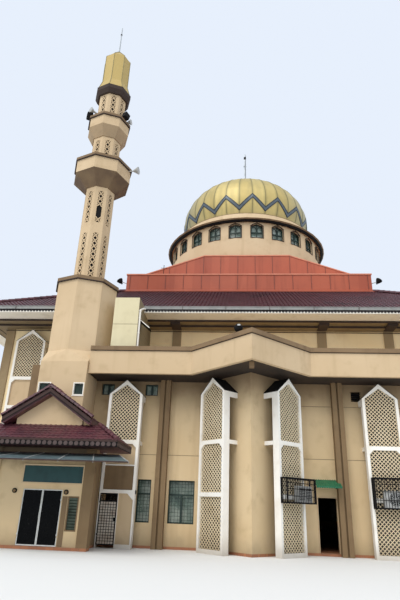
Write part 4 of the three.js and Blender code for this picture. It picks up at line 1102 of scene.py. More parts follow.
def addDome():
    skin, ribs, band, mast = (Shape() for i in range(4))
    d, shell = dome, dome['shell']
    low = math.asin((d['base'] - d['centre']) / d['rise'])
    profile = []
    for i in range(d['rows'] + 1):
        angle = low + (math.pi / 2 - low) * i / d['rows']
        profile.append((d['radius'] * math.cos(angle), d['centre'] + d['rise'] * math.sin(angle)))
    profile[-1] = (0.02, profile[-1][1])
    inner = [(max(0.02, r - shell), z - (shell if z > 23 else 0)) for r, z in profile]
    inner[0] = (profile[0][0] - shell, profile[0][1])
    half = math.pi / d['gores']
    skin.lathe([*profile, *inner[::-1]], d['gores'], turnBy=half, closed=True)
    skin.make('dome_gores', 'gold_skin', smooth=9.5, replaces=['dome'])
    for i in range(d['gores']):
        angle = (2 * i + 1) * half
        x, y = math.sin(angle), -math.cos(angle)
        for (r0, z0), (r1, z1) in zip(profile[:-2], profile[1:-1]):
            ribs.bar((x * r0, y * r0, z0), (x * r1, y * r1, z1), *d['seam'], (x, y, 0))
    ribs.make('dome_seams', 'gold_skin', ['seam_line'])
    wide, line = d['band'], d['line']
    zigzagLayer(band, -wide - line, -wide, 0.03)
    zigzagLayer(band, wide, wide + line, 0.03)
    band.mark = 1
    zigzagLayer(band, -wide, wide, 0.02)
    band.make('dome_zigzag_band', 'gold_skin', ['navy_paint', 'grey_blue_paint'])
    for rod in d['rod']:
        mast.rod(*rod)
    mast.lathe(d['knob'], 12)
    mast.make('finial_rod_and_knob', 'dark_paint', ['black_paint'], smooth=40)


addDome()
print('dome dressed')

# Minaret: a zone is foot and top of a run of chains, a coping is outer and inner radius, foot and top

minaret = {
    'x': -7.82, 'y': -14.8, 'shaft': 0.78, 'pitch': 0.3, 'slot': (14.5, (1, 2)),
    'recess': 0.129, 'link': 0.12, 'knot': 0.055, 'stud': (0.13, 0.1, 0.05),
    'zones': [(11.5, 13.9), (14.5, 16.35), (18.45, 19.65), (21.5, 22.8)],
    'copings': [(1.55, 1.3, 11.0, 11.19), (1.58, 1.38, 17.98, 18.15), (1.21, 1.03, 21.04, 21.21)],
    'rim': [(0.72, 22.9), (0.9, 22.9), (1.03, 23.16), (1.03, 23.4), (0.93, 23.42), (0.72, 23.1)],
    'cap': [(0.985, 23.38), (0.775, 24.06), (0.775, 26.05), (0.05, 26.98)],
    'knob': [(0.001, 28.4), (0.05, 28.43), (0.05, 28.5), (0.001, 28.53)],
}
speakers = {
    'boxes': (-62, 62, 180), 'out': 1.12, 'high': 21.22, 'tilt': 14, 'half': 0.17,
    # a horn's angle, height and distance; the low horn's rods by their two distances, radius, sides and tip
    'horns': [(-38, 21.48, 1.0), (82, 21.3, 0.98), (150, 21.45, 1.0)],
    'lowHorn': [(1.4, 1.82, 0.03, 10), (1.72, 1.98, 0.05, 16, 0.2), (1.98, 2.0, 0.21, 16)],
}


def octagonBand(shape, radius, inner, z0, z1):
    profile = [(inner, z0), (radius, z0), (radius, z1), (inner, z1)]
    shape.lathe(profile, 8, (minaret['x'], minaret['y']), closed=True)


def addMinaret():
    m = minaret
    backs, chains, copings, lines, rim, seams, tip = (Shape() for i in range(7))
    flat = m['shaft'] * math.cos(math.pi / 8)
    face = 0.01 - flat
    knot, (out, into, tall) = m['knot'], m['stud']
    for k in range(8):
        backs.turn = chains.turn = placed(22.5 + 45 * k, m['x'], m['y'])
        for z0, z1 in m['zones']:
            backs.block(-m['recess'], m['recess'], 0.034 - flat, 0.041 - flat, z0 + 0.001, z1 - 0.001)
            cells = round((z1 - z0) / m['pitch'])
            high = (z1 - z0) / cells
            for cell in range(cells):
                if k == 0 and z0 == m['slot'][0] and cell in m['slot'][1]:
                    continue  # a plain dark slot below the lower balcony
                foot = z0 + cell * high
                middle = foot + high / 2
                for side in (-1, 1):
                    reach = side * m['link']
                    chains.bar((-reach, face, foot), (reach, face, foot + high), 0.05, 0.03)
                    xs = sorted((side * out, side * into))
                    chains.block(*xs, face - 0.005, face + 0.02, middle - tall, middle + tall)
                chains.block(-knot, knot, face - 0.008, face + 0.02, middle - knot, middle + knot)
    backs.make('minaret_strip_recesses', 'dark_paint', ['black_paint'])
    chains.make('minaret_strip_chains', 'cream_render')
    for radius, inner, z0, z1 in m['copings']:
        octagonBand(copings, radius, inner, z0, z1)
        octagonBand(lines, radius + 0.008, inner, z0 - 0.012, z0 + 0.03)
    copings.make('minaret_copings', 'brown_paint', ['coping_paint'])
    lines.make('minaret_coping_lines', 'brown_paint', ['dark_trim_paint'])
    rim.lathe(m['rim'], 8, (m['x'], m['y']), closed=True)
    rim.make('minaret_cap_rim', 'brown_paint', ['dark_trim_paint'])
    for k in range(8):
        x, y = math.sin(math.radians(45 * k)), -math.cos(math.radians(45 * k))
        ends = [(m['x'] + x * r, m['y'] + y * r, z) for r, z in m['cap']]
        for start, end in zip(ends[:-1], ends[1:]):
            seams.rod(start, end, 0.016, 6)
    seams.make('minaret_cap_seams', 'gold_skin', ['seam_line'])
    tip.lathe(m['knob'], 10, (m['x'], m['y']))
    tip.make('minaret_mast_knobs', 'dark_paint', ['black_paint'], smooth=40)


def addSpeakers():
    # box loudspeakers on the upper balcony, and horns beside and below them
    s, m = speakers, minaret
    boxes, horns = Shape(), Shape()
    half, out = s['half'], s['out']
    for angle in s['boxes']:
        boxes.turn = placed(angle, m['x'], m['y'], s['high']) @ placed(s['tilt'], axis='Y')
        boxes.blocks([
            (-half, half, -out - 0.16, 0.12 - out, 0.04, 0.04 + 2.2 * half),
            (-half * 0.8, half * 0.8, -out - 0.185, -out - 0.16, 0.07, 2.2 * half),
            (-0.04, 0.04, -out - 0.02, 0.06 - out, -0.02, 0.05)])
    boxes.make('minaret_loudspeakers', 'dark_paint', ['black_paint'], bevel=0.01)
    for angle, z, out in s['horns']:
        horns.turn = placed(angle, m['x'], m['y'], z)
        horns.rod((0, 0.1 - out, 0), (0, -out - 0.1, 0), 0.05, 12)
        horns.rod((0, -out - 0.1, 0), (0, -out - 0.3, 0), 0.05, 16, 0.15)
        horns.rod((0, -out - 0.3, 0), (0, -out - 0.32, 0), 0.16, 16)
        horns.rod((0, -out, 0), (0, -out, -0.3), 0.02, 8)
    horns.turn = placed(84, m['x'], m['y'], 17.95)
    for start, end, *size in s['lowHorn']:
        horns.rod((0, -start, 0), (0, -end, 0), *size)
    horns.make('minaret_horns', 'bare_steel', ['pale_grey_paint'], smooth=40)


addMinaret()
addSpeakers()
print('minaret dressed')

# Canopy, its lamp and the fittings of the stair block

canopy = {
    'left': -6.79, 'right': 8.8, 'prow': 2.45,
    'front': frontWall - 1.5, 'peak': frontWall - 3.95, 'back': -hallHalf}
canopyPath = [
    (canopy['left'], canopy['front']), (-canopy['prow'], canopy['front']), (0, canopy['peak']),
    (canopy['prow'], canopy['front']), (canopy['right'], canopy['front']), (canopy['right'], canopy['back'])]
canopyLines = [
    ('canopy_drip_edge', 'white_paint', 'cream_render', (0.008, -0.16, 6.605, 6.64)),
    ('canopy_shadow_line', 'brown_paint', 'dark_trim_paint', (0.03, -0.02, 7.575, 7.61))]
canopyBracket = (-0.09, 0.09, -18.4, -18.22, 6.36, 6.6)
lamp = {'x': -0.5, 'y': -18.05, 'z': 8.02, 'radius': 0.17, 'deck': 7.6, 'stem': 0.03, 'base': 0.11}
pipe = {
    'path': [(-4.945, -15.62, 7.62), (-4.945, -15.62, 9.72), (-4.965, -14.75, 10.14), (-4.965, -14.5, 10.2)],
    'radius': 0.045, 'clips': (7.9, 8.6, 9.3, 9.66), 'clip': (0.04, 0.062), 'high': 0.04, 'wall': -5.0}
shutter = {
    'x': -4.985, 'y': -15.22, 'z': 9.3, 'tilt': -50,
    'boards': [(0.0, 0.03, -0.3, 0.3, -0.62, 0.0), (0.0, 0.035, -0.305, -0.27, -0.63, 0.0)]}
roofLamp = {
    'foot': (7.72, -7.6, 14.75), 'head': (8.14, -7.7, 14.86), 'tilt': 35, 'arm': 0.025,
    'hood': [(0.001, -0.1), (0.1, -0.1), (0.2, 0.1), (0.2, 0.13), (0.001, 0.13)],
    'box': (-0.05, 0.05, -0.05, 0.05, -0.2, -0.09)}


def addCanopy():
    for name, slot, finish, band in canopyLines:
        line = Shape()
        strip(line, canopyPath, *band)
        line.make(name, slot, [finish])
    bracket = Shape()
    bracket.block(*canopyBracket)
    bracket.make('canopy_peak_bracket', 'brown_paint', bevel=0.006)
    flood = Shape(placed(x=lamp['x'], y=lamp['y'], z=lamp['z']))
    r, deck, stem, base = lamp['radius'], lamp['deck'] - lamp['z'], lamp['stem'], lamp['base']
    angles = [math.pi * k / 10 for k in range(-4, 5)]
    flood.lathe([(0.001, -r), *[(r * math.cos(a), r * math.sin(a)) for a in angles], (0.001, r)], 20)
    flood.blocks([(-stem, stem, -stem, stem, deck, -r * 0.9), (-base, base, -base, base, deck, deck + 0.02)])
    flood.mark = 1
    flood.rod((0.02, -r * 0.86, 0.07), (0.02, -r * 0.96, 0.09), 0.07, 16, 0.055)
    flood.make('canopy_flood_lamp', 'dark_paint', ['black_paint', 'pale_grey_paint'], smooth=40)


def addStairFittings():
    # rain pipe on the right corner, and a shutter hung from its top edge, its foot held off the wall
    rain = Shape()
    for start, end in zip(pipe['path'][:-1], pipe['path'][1:]):
        rain.rod(start, end, pipe['radius'], 12)
    x, y = pipe['path'][0][:2]
    inner, outer = pipe['clip']
    for z in pipe['clips']:
        top = z + pipe['high']
        rain.lathe([(inner, z), (outer, z), (outer, top), (inner, top)], 12, (x, y), closed=True)
        rain.block(pipe['wall'], x, y - 0.012, y + 0.012, z + 0.008, top - 0.008)
    rain.make('rain_pipe', 'white_paint', ['screen_paint'], smooth=40)
    s = shutter
    leaf = Shape(placed(s['tilt'], s['x'], s['y'], s['z'], 'Y'))
    for mark, board in enumerate(s['boards']):
        leaf.mark = mark
        leaf.block(*board)
    leaf.make('stair_shutter', 'dark_paint', ['black_paint', 'screen_paint'])


def addRoofLamps():
    # flood lamps on arms at the lower clad tier's front corners
    lamps = Shape()
    for side in (-1, 1):
        foot, head = ((side * x, y, z) for x, y, z in (roofLamp['foot'], roofLamp['head']))
        lamps.turn, lamps.mark = placed(), 1
        lamps.rod(foot, head, roofLamp['arm'], 10)
        lamps.turn, lamps.mark = placed(side * roofLamp['tilt'], *head, 'Y'), 0
        lamps.lathe(roofLamp['hood'], 14)
        lamps.block(*roofLamp['box'])
    lamps.make('roof_flood_lamps', 'dark_paint', ['black_paint', 'pale_grey_paint'], smooth=40)


addCanopy()
addStairFittings()
addRoofLamps()
print('canopy and stair block dressed')

# Windows: half widths, heights, and depths behind the wall's face

window = {
    'frame': 0.05, 'back': 0.12, 'deep': 0.06, 'grid': 0.13, 'thin': 0.006, 'post': 0.04, 'half': 0.53,
    'foot': 0.92, 'head': 2.54, 'transom': 1.99, 'bays': 4, 'bay': 6.25, 'apart': 1.2,
    'front': [(-3.32, -2.26, 1), (-4.62, -4.05, 0)]}
highWindow = {'half': 0.28, 'foot': 6.0, 'head': 6.5, 'front': (-6.26, -4.31), 'rim': (0.05, -0.005)}
doorwayRim = (2.62, 3.405, 0.1, 2.11), (2.655, 3.385, 0.1001, 2.065)  # the right doorway's edge and hole
vent = {'blades': 5, 'foot': 5.93, 'pitch': 0.075, 'left': 4.285, 'right': 4.675}


def addWindow(shape, x0, x1, z0, z1, mullions=1, transom=None):
    # outer frame and upright bars; below a transom the window is tall, with fine bars over its glass
    f, thin, post = window['frame'], window['thin'], window['post']
    y0, y1 = window['back'], window['back'] + window['deep']
    outer, inner = (rect(x0 + by, x1 - by, z0 + by, z1 - by) for by in (-0.002, f))
    shape.frame(outer, inner, y0, y1)
    for x in evenly(x0, x1, (x1 - x0) / (mullions + 1)):
        shape.block(x - post, x + post, y0 + 0.004, y1 - 0.004, z0 + 0.01, transom or z1 - 0.01)
    if transom:
        shape.block(x0 + 0.01, x1 - 0.01, y0 + 0.002, y1 - 0.002, transom - 0.03, transom + 0.03)
        for x in evenly(x0, x1, window['grid']):
            shape.block(x - thin, x + thin, y0 + 0.03, y0 + 0.042, z0 + 0.02, z1 - 0.02)
        for z in evenly(z0, z1, window['grid']):
            shape.block(x0 + 0.02, x1 - 0.02, y0 + 0.028, y0 + 0.04, z - thin, z + thin)


def addWindows():
    w, h = window, highWindow
    frames, sills, rims = (Shape(wallTurns['front']) for i in range(3))
    for x0, x1, mullions in w['front']:
        addWindow(frames, x0, x1, w['foot'], w['head'], mullions, w['transom'])
    for at in h['front']:
        addWindow(frames, at - h['half'], at + h['half'], h['foot'], h['head'])
    rims.frame(*(rect(*edge) for edge in doorwayRim), -0.015, 0.1)
    middles = [w['bay'] * (bay + 0.5) - hallHalf for bay in range(w['bays'])]
    centres = [middle + shift for middle in middles for shift in (-w['apart'], w['apart'])]
    for wall in ('right', 'left', 'back'):
        frames.turn = sills.turn = rims.turn = wallTurns[wall]
        for at in centres:
            left, right = at - w['half'], at + w['half']
            addWindow(frames, left, right, w['foot'], w['head'], 1, w['transom'])
            sills.block(left - 0.06, right + 0.06, -0.05, 0.11, w['foot'] - 0.06, w['foot'] + 0.004)
            addWindow(frames, at - h['half'], at + h['half'], h['foot'], h['head'])
            outer, inner = (
                rect(at - h['half'] - grow, at + h['half'] + grow, h['foot'] - grow, h['head'] + grow)
                for grow in h['rim'])
            rims.frame(outer, inner, -0.015, 0.09)
    frames.make('window_frames', 'dark_paint', ['window_frame_paint'])
    sills.make('window_sills', 'white_paint')
    rims.make('opening_surrounds', 'white_paint', ['cream_render'])
    blades = Shape(wallTurns['front'])
    for k in range(vent['blades']):
        z = vent['foot'] + k * vent['pitch']
        blades.bar((vent['left'], 0.06, z), (vent['right'], 0.06, z), 0.05, 0.008, (0, 1, 0.7))
    blades.make('vent_blades', 'dark_paint', ['black_paint'])


addWindows()
print('windows framed')

# Conditioner cages: ends, depth, heights, and the unit's ends and heights

cage = {'bar': 0.05, 'rod': 0.011, 'pitch': 0.1, 'off': 0.74, 'fan': 0.21}
cages = [
    ('cage_prow', rightProw, (-0.7, 1.0), 0.32, (1.8, 2.69), (0.0, 0.8, 1.85, 2.42), False),
    ('cage_right', rightTurn, (-0.65, 0.65), 0.35, (1.72, 2.83), (-0.29, 0.51, 1.76, 2.36), True)]


def addFan(shape, x, y, z, radius):
    # round grille of a fan: rings and spokes
    for share in (1.0, 0.66, 0.33):
        shape.ring(x, z, radius * share, 0.95, 24, y - 0.01, y - 0.002)
    for k in range(6):
        dx, dz = math.cos(math.pi * k / 6) * radius, math.sin(math.pi * k / 6) * radius
        shape.bar((x - dx, y - 0.006, z - dz), (x + dx, y - 0.006, z + dz), 0.014, 0.008)


def addCage(name, turn, ends, depth, heights, unit, fan):
    # welded bars round a pale unit: a louvred face, or a dark one with a round fan
    shape = Shape(turn)
    bar, rod = cage['bar'], cage['rod']
    (x0, x1), (foot, top) = ends, heights
    y0, y1 = -cage['off'] - depth, -cage['off'] - 0.002
    for z in (foot, top - bar):
        shape.blocks([(x0, x1, y0, y0 + bar, z, z + bar), (x0, x1, y1 - bar, y1, z, z + bar)])
        shape.blocks([(x, x + bar, y0, y1, z, z + bar) for x in (x0, x1 - bar)])
    shape.blocks([(x, x + bar, y, y + bar, foot, top) for x in (x0, x1 - bar) for y in (y0, y1 - bar)])
    middle = (foot + top) / 2 + 0.04
    for z in (middle, (foot + middle) / 2, (top + middle) / 2):
        shape.block(x0, x1, y0, y0 + 0.02, z, z + 0.024)
    low, high, front = foot + 0.02, top - 0.02, y0 + 0.012
    for x in evenly(x0, x1, cage['pitch']):
        shape.rod((x, front, low), (x, front, high), rod, 6)
        shape.rod((x, front, high), (x, y1, high), rod, 6)
    for y in evenly(y0, y0 + depth, depth / 3):
        for x in (x0 + 0.012, x1 - 0.012):
            shape.rod((x, y, low), (x, y, high), rod, 6)
    shape.block(x0 + 0.01, x1 - 0.01, y0 + 0.01, y1 - 0.01, foot + 0.012, foot + 0.03)
    left, right, low, high = unit
    face, back, x, z = y0 + 0.05, y1 - 0.06, (left + right) / 2, (low + high) / 2
    shape.mark = 1
    shape.block(left, right, face, back, low, high)
    for leg in (left + 0.03, right - 0.08):
        shape.block(leg, leg + 0.05, face - 0.008, back, foot + 0.02, low + 0.01)
    shape.mark = 2
    if fan:
        shape.rod((x, face, z), (x, face - 0.006, z), 0.23, 24)
        shape.mark = 1
        addFan(shape, x, face - 0.006, z, cage['fan'])
    else:
        left, right = left + 0.06, right - 0.06
        shape.block(left, right, face - 0.003, face, low + 0.05, high - 0.05)
        shape.mark = 1
        for k in range(9):
            at = low + 0.07 + (high - low - 0.14) * k / 8
            shape.block(left, right, face - 0.012, face - 0.002, at - 0.012, at + 0.012)
        shape.block(x - 0.02, x + 0.02, face - 0.014, face, low + 0.05, high - 0.05)
    finishes = ['black_paint', 'pale_grey_paint', 'dark_paint']
    shape.make(name + '_bars', 'dark_paint', finishes, replaces=[name])


for settings in cages:
    addCage(*settings)

# Green awning

greenAwning = {
    'left': 2.53, 'split': 3.405, 'right': 3.51, 'back': (-0.002, 2.745), 'corner': (-0.36, 2.6106),
    'front': (-0.75, 2.465), 'scallops': 11, 'arms': (2.56, 3.38),
    'pitch': 0.09, 'wave': 0.012, 'thick': 0.003}


def corrugated(shape, x0, x1, back, front):
    # waved sheet between a back edge and a front edge, each a depth and a height
    g = greenAwning
    count = round((x1 - x0) / g['pitch'] * 6)
    points, faces = [], []
    for k in range(count + 1):
        x = x0 + (x1 - x0) * k / count
        wave = g['wave'] * math.sin(2 * math.pi * (x - x0) / g['pitch'])
        for y, z in (back, front):
            points += [(x, y, z + wave), (x, y, z + wave - g['thick'])]
    for a in range(0, 4 * count, 4):
        b = a + 4
        faces += [(a, a + 2, b + 2, b), (a + 1, b + 1, b + 3, a + 3)]
        faces += [(a, b, b + 1, a + 1), (a + 2, a + 3, b + 3, b + 2)]
    last = 4 * count
    shape.add(points, [*faces, (0, 1, 3, 2), (last, last + 2, last + 3, last + 1)])


def addGreenAwning():
    g = greenAwning
    sheet = Shape(wallTurns['front'])
    corrugated(sheet, g['left'], g['split'], g['back'], g['front'])
    corrugated(sheet, g['split'], g['right'], g['corner'], g['front'])
    for k in range(g['scallops']):
        x = g['left'] + (g['right'] - g['left']) * (k + 0.5) / g['scallops']
        scallop(sheet, x, 0.0445, 2.47, 2.40, -0.752, -0.748)
    sheet.mark = 1
    for x in g['arms']:
        for z in (2.42, 2.72):
            sheet.bar((x, -0.01, z), (x, -0.72, 2.45), 0.02, 0.02)
    sheet.make('awning_green_sheet', 'green_sheet', ['green_sheet', 'black_paint'], replaces=['awning_green'])


addGreenAwning()
print('cages and green awning built')

# Porch: roofs, eave, doors, louvre, lamps, sign and awning

porch = {
    'face': -17.3, 'ridge': -7.75, 'apex': 5.63,
    'gables': ((-9.5, -1), (-6.0, 1)), 'gableEave': 4.48, 'gableFront': -17.65,
    # each slope from its eave's ends to its top's ends
    'slopes': [
        ((-10.7, -18.25, 3.66), (-4.8, -18.25, 3.66), (-9.75, -17.3, 4.28), (-5.75, -17.3, 4.28)),
        ((-10.7, -15.75, 3.66), (-10.7, -18.25, 3.66), (-9.75, -15.75, 4.28), (-9.75, -17.3, 4.28)),
        ((-4.8, -18.25, 3.66), (-4.8, -15.75, 3.66), (-5.75, -17.3, 4.28), (-5.75, -15.75, 4.28)),
        ((-9.5, -16.45, 4.48), (-9.5, -17.65, 4.48), (-7.75, -16.45, 5.63), (-7.75, -17.65, 5.63)),
        ((-6.0, -17.65, 4.48), (-6.0, -16.45, 4.48), (-7.75, -17.65, 5.63), (-7.75, -16.45, 5.63))],
    # each ridge's start, end, radius and tile length
    'ridges': [
        ((-10.7, -18.25, 3.68), (-9.75, -17.3, 4.3), 0.08, 0.26),
        ((-4.8, -18.25, 3.68), (-5.75, -17.3, 4.3), 0.08, 0.26),
        ((-9.5, -17.63, 4.53), (-7.75, -17.63, 5.68), 0.085, 0.24),
        ((-6.0, -17.63, 4.53), (-7.75, -17.63, 5.68), 0.085, 0.24),
        ((-7.75, -17.69, 5.67), (-7.75, -16.45, 5.67), 0.1, 0.28)],
    # each eave's middle, turn and length
    'eaves': [(-7.75, -18.25, 0, 5.9), (-4.8, -17.0, 90, 2.5), (-10.7, -17.0, -90, 2.5)],
    # the lower board is black: painted shade behind and between the round tile ends
    'boards': [(-0.018, 0.0, 3.6, 3.675), (-0.008, 0.0, 3.432, 3.6)], 'disc': (3.52, 0.078, 0.022, 0.2),
    'gableFoot': (-9.03, -6.47, -17.33, -17.3, 4.285, 4.33),
    'sidePanel': (-6.83, -6.645, -17.316, -17.301, 0.12, 1.76),
    'louvre': ((-6.63, -6.22, 0.61, 1.77), (-6.585, -6.265, 0.655, 1.725)),
    'louvreBack': (-6.6, -6.25, -17.18, -17.17, 0.63, 1.75), 'blades': (11, 0.7, 0.097, -6.59, -6.26),
    'sign': ((-8.45, -6.12, 2.16, 2.84), (-8.4, -6.17, 2.21, 2.79)),
    'lamps': (-6.72, -8.66), 'lampHeight': 1.9,
    'pier': [
        (-6.132, -5.744, -17.366, -17.358, 0.1, 3.43), (-5.752, -5.744, -17.36, -16.98, 0.1, 3.43),
        (-6.027, -6.019, -16.98, -15.56, 0.1, 3.43)],
}
porchTiles = {'wide': 0.2, 'show': 0.2, 'roll': 0.018, 'butt': 0.03, 'tail': 0.014, 'lap': 0.02}
porchDoor = {
    'front': -17.295, 'back': -17.25, 'foot': 0.11, 'top': 1.972, 'stile': 0.028, 'rail': 0.04, 'head': 0.03,
    'hinge': -17.317, 'grip': 0.016}
awning = {
    'front': (-19.2, 2.85), 'back': (-17.361, 3.23), 'left': -11.38, 'right': -4.12, 'taper': 0.77,
    'rafters': 6}


def addPorchRoof():
    shape = Shape()
    for slope in porch['slopes']:
        tileSlope(shape, *slope, porchTiles)
    for ridge in porch['ridges']:
        ridgeTiles(shape, *ridge)
    shape.make('porch_tiles', 'roof_tile', smooth=40)


def addPorchEave():
    p = porch
    boards, discs, barge, foot = (Shape() for i in range(4))
    for x, y, degrees, length in p['eaves']:
        boards.turn = discs.turn = placed(degrees, x, y)
        half = length / 2
        for mark, board in enumerate(p['boards']):
            boards.mark = mark
            boards.block(-half, half, *board)
        z, radius, thick, pitch = p['disc']
        count = round(length / pitch)
        for k in range(count):
            at = -half + length * (k + 0.5) / count
            discs.rod((at, 0.0, z), (at, -thick, z), radius, 12)
    boards.make('porch_eave_boards', 'roof_tile', ['porch_edge_paint', 'black_paint'])
    discs.make('porch_eave_tile_ends', 'roof_tile', ['tile_rim'])
    y0, y1 = p['gableFront'] - 0.03, p['gableFront'] - 0.002
    for x, side in p['gables']:
        low, high = (x, p['gableEave']), (p['ridge'], p['apex'])
        board = [low, high, (high[0], high[1] - 0.19), (x - side * 0.1, low[1] - 0.14)]
        line = [(px, pz - 0.14) for px, pz in (low, high)] + [(px, pz - 0.175) for px, pz in (high, low)]
        barge.mark = 0
        barge.panel(board[::-side], y0, y1)
        barge.mark = 1
        barge.panel(line[::-side], y0 - 0.008, y0)
    barge.make('porch_barge_boards', 'roof_tile', ['porch_edge_paint', 'black_paint'])
    foot.block(*p['gableFoot'])
    foot.make('porch_gable_foot_line', 'white_paint', ['cream_render'])


def addPorchDoor(name, x0, x1, pivot, side):
    # thin pale frame round a dark pane
    leaf, d = Shape(), porchDoor
    y0, y1, z0, z1 = d['front'], d['back'], d['foot'], d['top']
    hole = rect(x0 + d['stile'], x1 - d['stile'], z0 + d['rail'], z1 - d['head'])
    leaf.frame(rect(x0, x1, z0, z1), hole, y0, y1)
    addKnuckles(leaf, pivot, d['hinge'], side, 0.022, True)
    handle = x1 - d['grip'] if side > 0 else x0 + d['grip']
    leaf.block(handle - 0.012, handle + 0.012, y0 - 0.02, y0 + 0.002, 1.0, 1.2)
    leaf.mark = 1
    leaf.block(x0 + 0.022, x1 - 0.022, y0 + 0.018, y0 + 0.027, z0 + 0.035, z1 - 0.025)
    body = name.replace('door', 'leaf')
    leaf.make(name + '_leaf', 'bare_steel', ['door_frame_paint', 'door_glass'], body=body, replaces=[name])


def addPorchFront():
    p = porch
    y, z = p['face'], p['lampHeight']
    louvre, panel, lamps, sign, pier = (Shape() for i in range(5))
    louvre.frame(*(rect(*edge) for edge in p['louvre']), y - 0.004, y + 0.08)
    louvre.mark = 1
    count, low, pitch, left, right = p['blades']
    for k in range(count):
        at = low + k * pitch
        louvre.bar((left, y + 0.04, at), (right, y + 0.04, at), 0.1, 0.006, (0, 1, 0.8))
    louvre.mark = 2
    louvre.block(*p['louvreBack'])
    louvre.make('porch_louvre', 'white_paint', ['brown_paint', 'louvre_glass', 'black_paint'])
    panel.block(*p['sidePanel'])
    panel.make('porch_side_panel', 'brown_paint', bevel=0.004)
    for x in p['lamps']:
        lamps.mark = 0
        lamps.rod((x, y, z), (x, y - 0.05, z), 0.085, 20)
        lamps.mark = 1
        lamps.rod((x, y - 0.04, z), (x, y - 0.1, z), 0.058, 20, 0.03)
    lamps.make('porch_wall_lamps', 'dark_paint', ['black_paint', 'column_paint'], smooth=40)
    sign.frame(*(rect(*edge) for edge in p['sign']), y - 0.055, y - 0.001)
    sign.make('sign_surround', 'sign_paint', ['cream_render'])
    pier.blocks(p['pier'])
    pier.make('porch_pier_coat', 'brown_paint', ['column_paint'])


def addAwning():
    # white frame of the translucent awning, with rafters
    bars, a = Shape(), awning
    (y0, z0), (y1, z1) = a['front'], a['back']
    left, right, taper = a['left'], a['right'], a['taper']
    for k in range(a['rafters'] + 1):
        share = k / a['rafters']
        x0 = left + (right - left) * share
        x1 = left + taper + (right - left - 2 * taper) * share
        for lift, deep in ((0.016, 0.02), (-0.02, 0.03)):
            bars.bar((x0, y0 + 0.01, z0 + lift), (x1, y1, z1 + lift), 0.03, deep, (0, 0.2, 1))
    bars.mark = 1
    for inset, y, z in ((0.0, y0, z0 + 0.005), (taper, y1 + 0.01, z1 + 0.01)):
        bars.bar((left + inset, y, z), (right - inset, y, z), 0.04, 0.04, (0, 0, 1))
    bars.make('awning_frame', 'white_paint', ['pale_grey_paint', 'porch_edge_paint'])


addPorchRoof()
addPorchEave()
addPorchDoor('porch_door_left', -8.332, -7.604, -8.336, 1)
addPorchDoor('porch_door_right', -7.596, -6.868, -6.864, -1)
addPorchFront()
addAwning()
print('porch dressed')

# Tower windows

tower = {
    'face': -16.45, 'windows': ((-8.77, -8.27), (-7.28, -6.86)), 'foot': 5.64, 'top': 6.13, 'rim': 0.02,
    'sill': (0.04, 5.585, 5.615), 'bar': 0.015}


def addTowerWindows():
    # small openings in white rims, each on its own sill
    t, frames = tower, Shape()
    y, z0, z1, bar = t['face'], t['foot'], t['top'], t['bar']
    reach, sillFoot, sillTop = t['sill']
    for x0, x1 in t['windows']:
        middle = (x0 + x1) / 2
        rim, hole = (rect(x0 - by, x1 + by, z0 - by, z1 + by) for by in (t['rim'], -t['rim']))
        frames.mark = 0
        frames.frame(rim, hole, y - 0.01, y + 0.1)
        frames.block(x0 - reach, x1 + reach, y - 0.02, y - 0.001, sillFoot, sillTop)
        frames.mark = 1
        frames.block(x0, x1, y + 0.11, y + 0.12, z0, z1)
        frames.block(middle - bar, middle + bar, y + 0.09, y + 0.11, z0 + 0.01, z1 - 0.01)
    frames.make('tower_window_rims', 'white_paint', ['screen_paint', 'window_frame_paint'])


addTowerWindows()
print('tower windows framed')

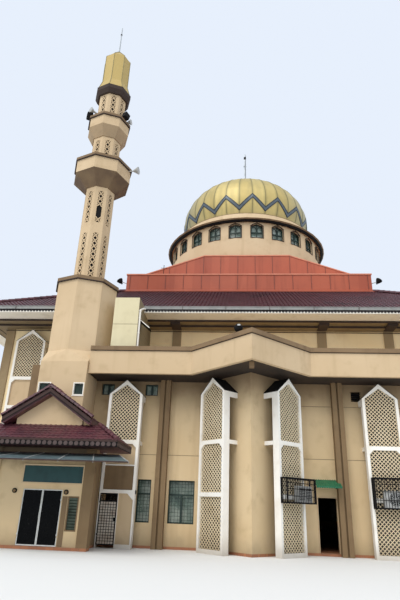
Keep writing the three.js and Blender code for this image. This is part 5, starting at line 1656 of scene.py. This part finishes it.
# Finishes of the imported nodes

nodeFinishes = {
    'front_wall_render': ('front_wall_left', 'front_wall_over_side_door', 'front_end_wall'),
    'right_wall_render': ('front_wall_right',), 'prow_render': ('prow_wall',),
    'hall_render': ('hall_wall_front',),
    'wall_render': ('hall_wall_left', 'hall_wall_right', 'hall_wall_back'), 'stair_render': ('stair_block',),
    'canopy_render': ('canopy',), 'porch_render': ('porch_wall_left', 'porch_wall_right', 'porch_door_head'),
    'coping_paint': ('canopy_coping',), 'lower_balcony_render': ('minaret_balcony_lower',),
    'upper_balcony_render': ('minaret_balcony_upper',), 'patterned_glass': ('glass_front', 'glass_hall'),
    'drum_glass_panes': ('drum_glass',), 'column_paint': ('column_left', 'column_right', 'column_end'),
    'beam_paint': ('hall_beam_and_pilasters',),
}
finishOf = {part['node']: part['material_slot'] for part in frame['record']['subparts']}
for finish, names in nodeFinishes.items():
    finishOf.update(dict.fromkeys(names, finish))
for name, node in frame['nodes'].items():
    material = looks[finishOf[name]].material
    if not node.material_slots:
        node.data.materials.append(material)
    for place in node.material_slots:
        place.material = material
print('nodes finished')

# Stage

stage = {
    'radius': 260, 'sides': 96, 'under': -0.001, 'ground': ((226, 225, 221), (220, 219, 215)),
    'sun': 1.9, 'spread': 40, 'warm': (1.0, 0.97, 0.92), 'slant': 38, 'from': -24,
    'sky': (0.8, 0.87, 0.98, 1)}


def addStage():
    s = stage
    look = Look('stage_floor', 0.0, 0.9)
    look.finish(look.mix(look.noise(0.05), *s['ground']))
    mesh = bpy.data.meshes.new('stage_floor')
    angles = [2 * math.pi * i / s['sides'] for i in range(s['sides'])]
    corners = [(s['radius'] * math.sin(a), s['radius'] * math.cos(a), s['under']) for a in angles]
    mesh.from_pydata(corners, [], [tuple(range(s['sides']))[::-1]])
    mesh.materials.append(look.material)
    ground = bpy.data.objects.new('stage_floor', mesh)
    scene.collection.objects.link(ground)
    sun = bpy.data.lights.new('soft_sun', 'SUN')
    sun.energy = s['sun']
    sun.angle = math.radians(s['spread'])
    sun.color = s['warm']
    sunObject = bpy.data.objects.new('soft_sun', sun)
    sunObject.rotation_euler = (math.radians(s['slant']), 0, math.radians(s['from']))
    scene.collection.objects.link(sunObject)
    world = bpy.data.worlds.new('studio')
    world.use_nodes = True
    sky = world.node_tree.nodes['Background']
    sky.inputs['Color'].default_value = s['sky']
    sky.inputs['Strength'].default_value = 1.0
    scene.world = world
    scene.view_settings.view_transform = 'Standard'


addCamera(cameraView)
addStage()
print('scene done')
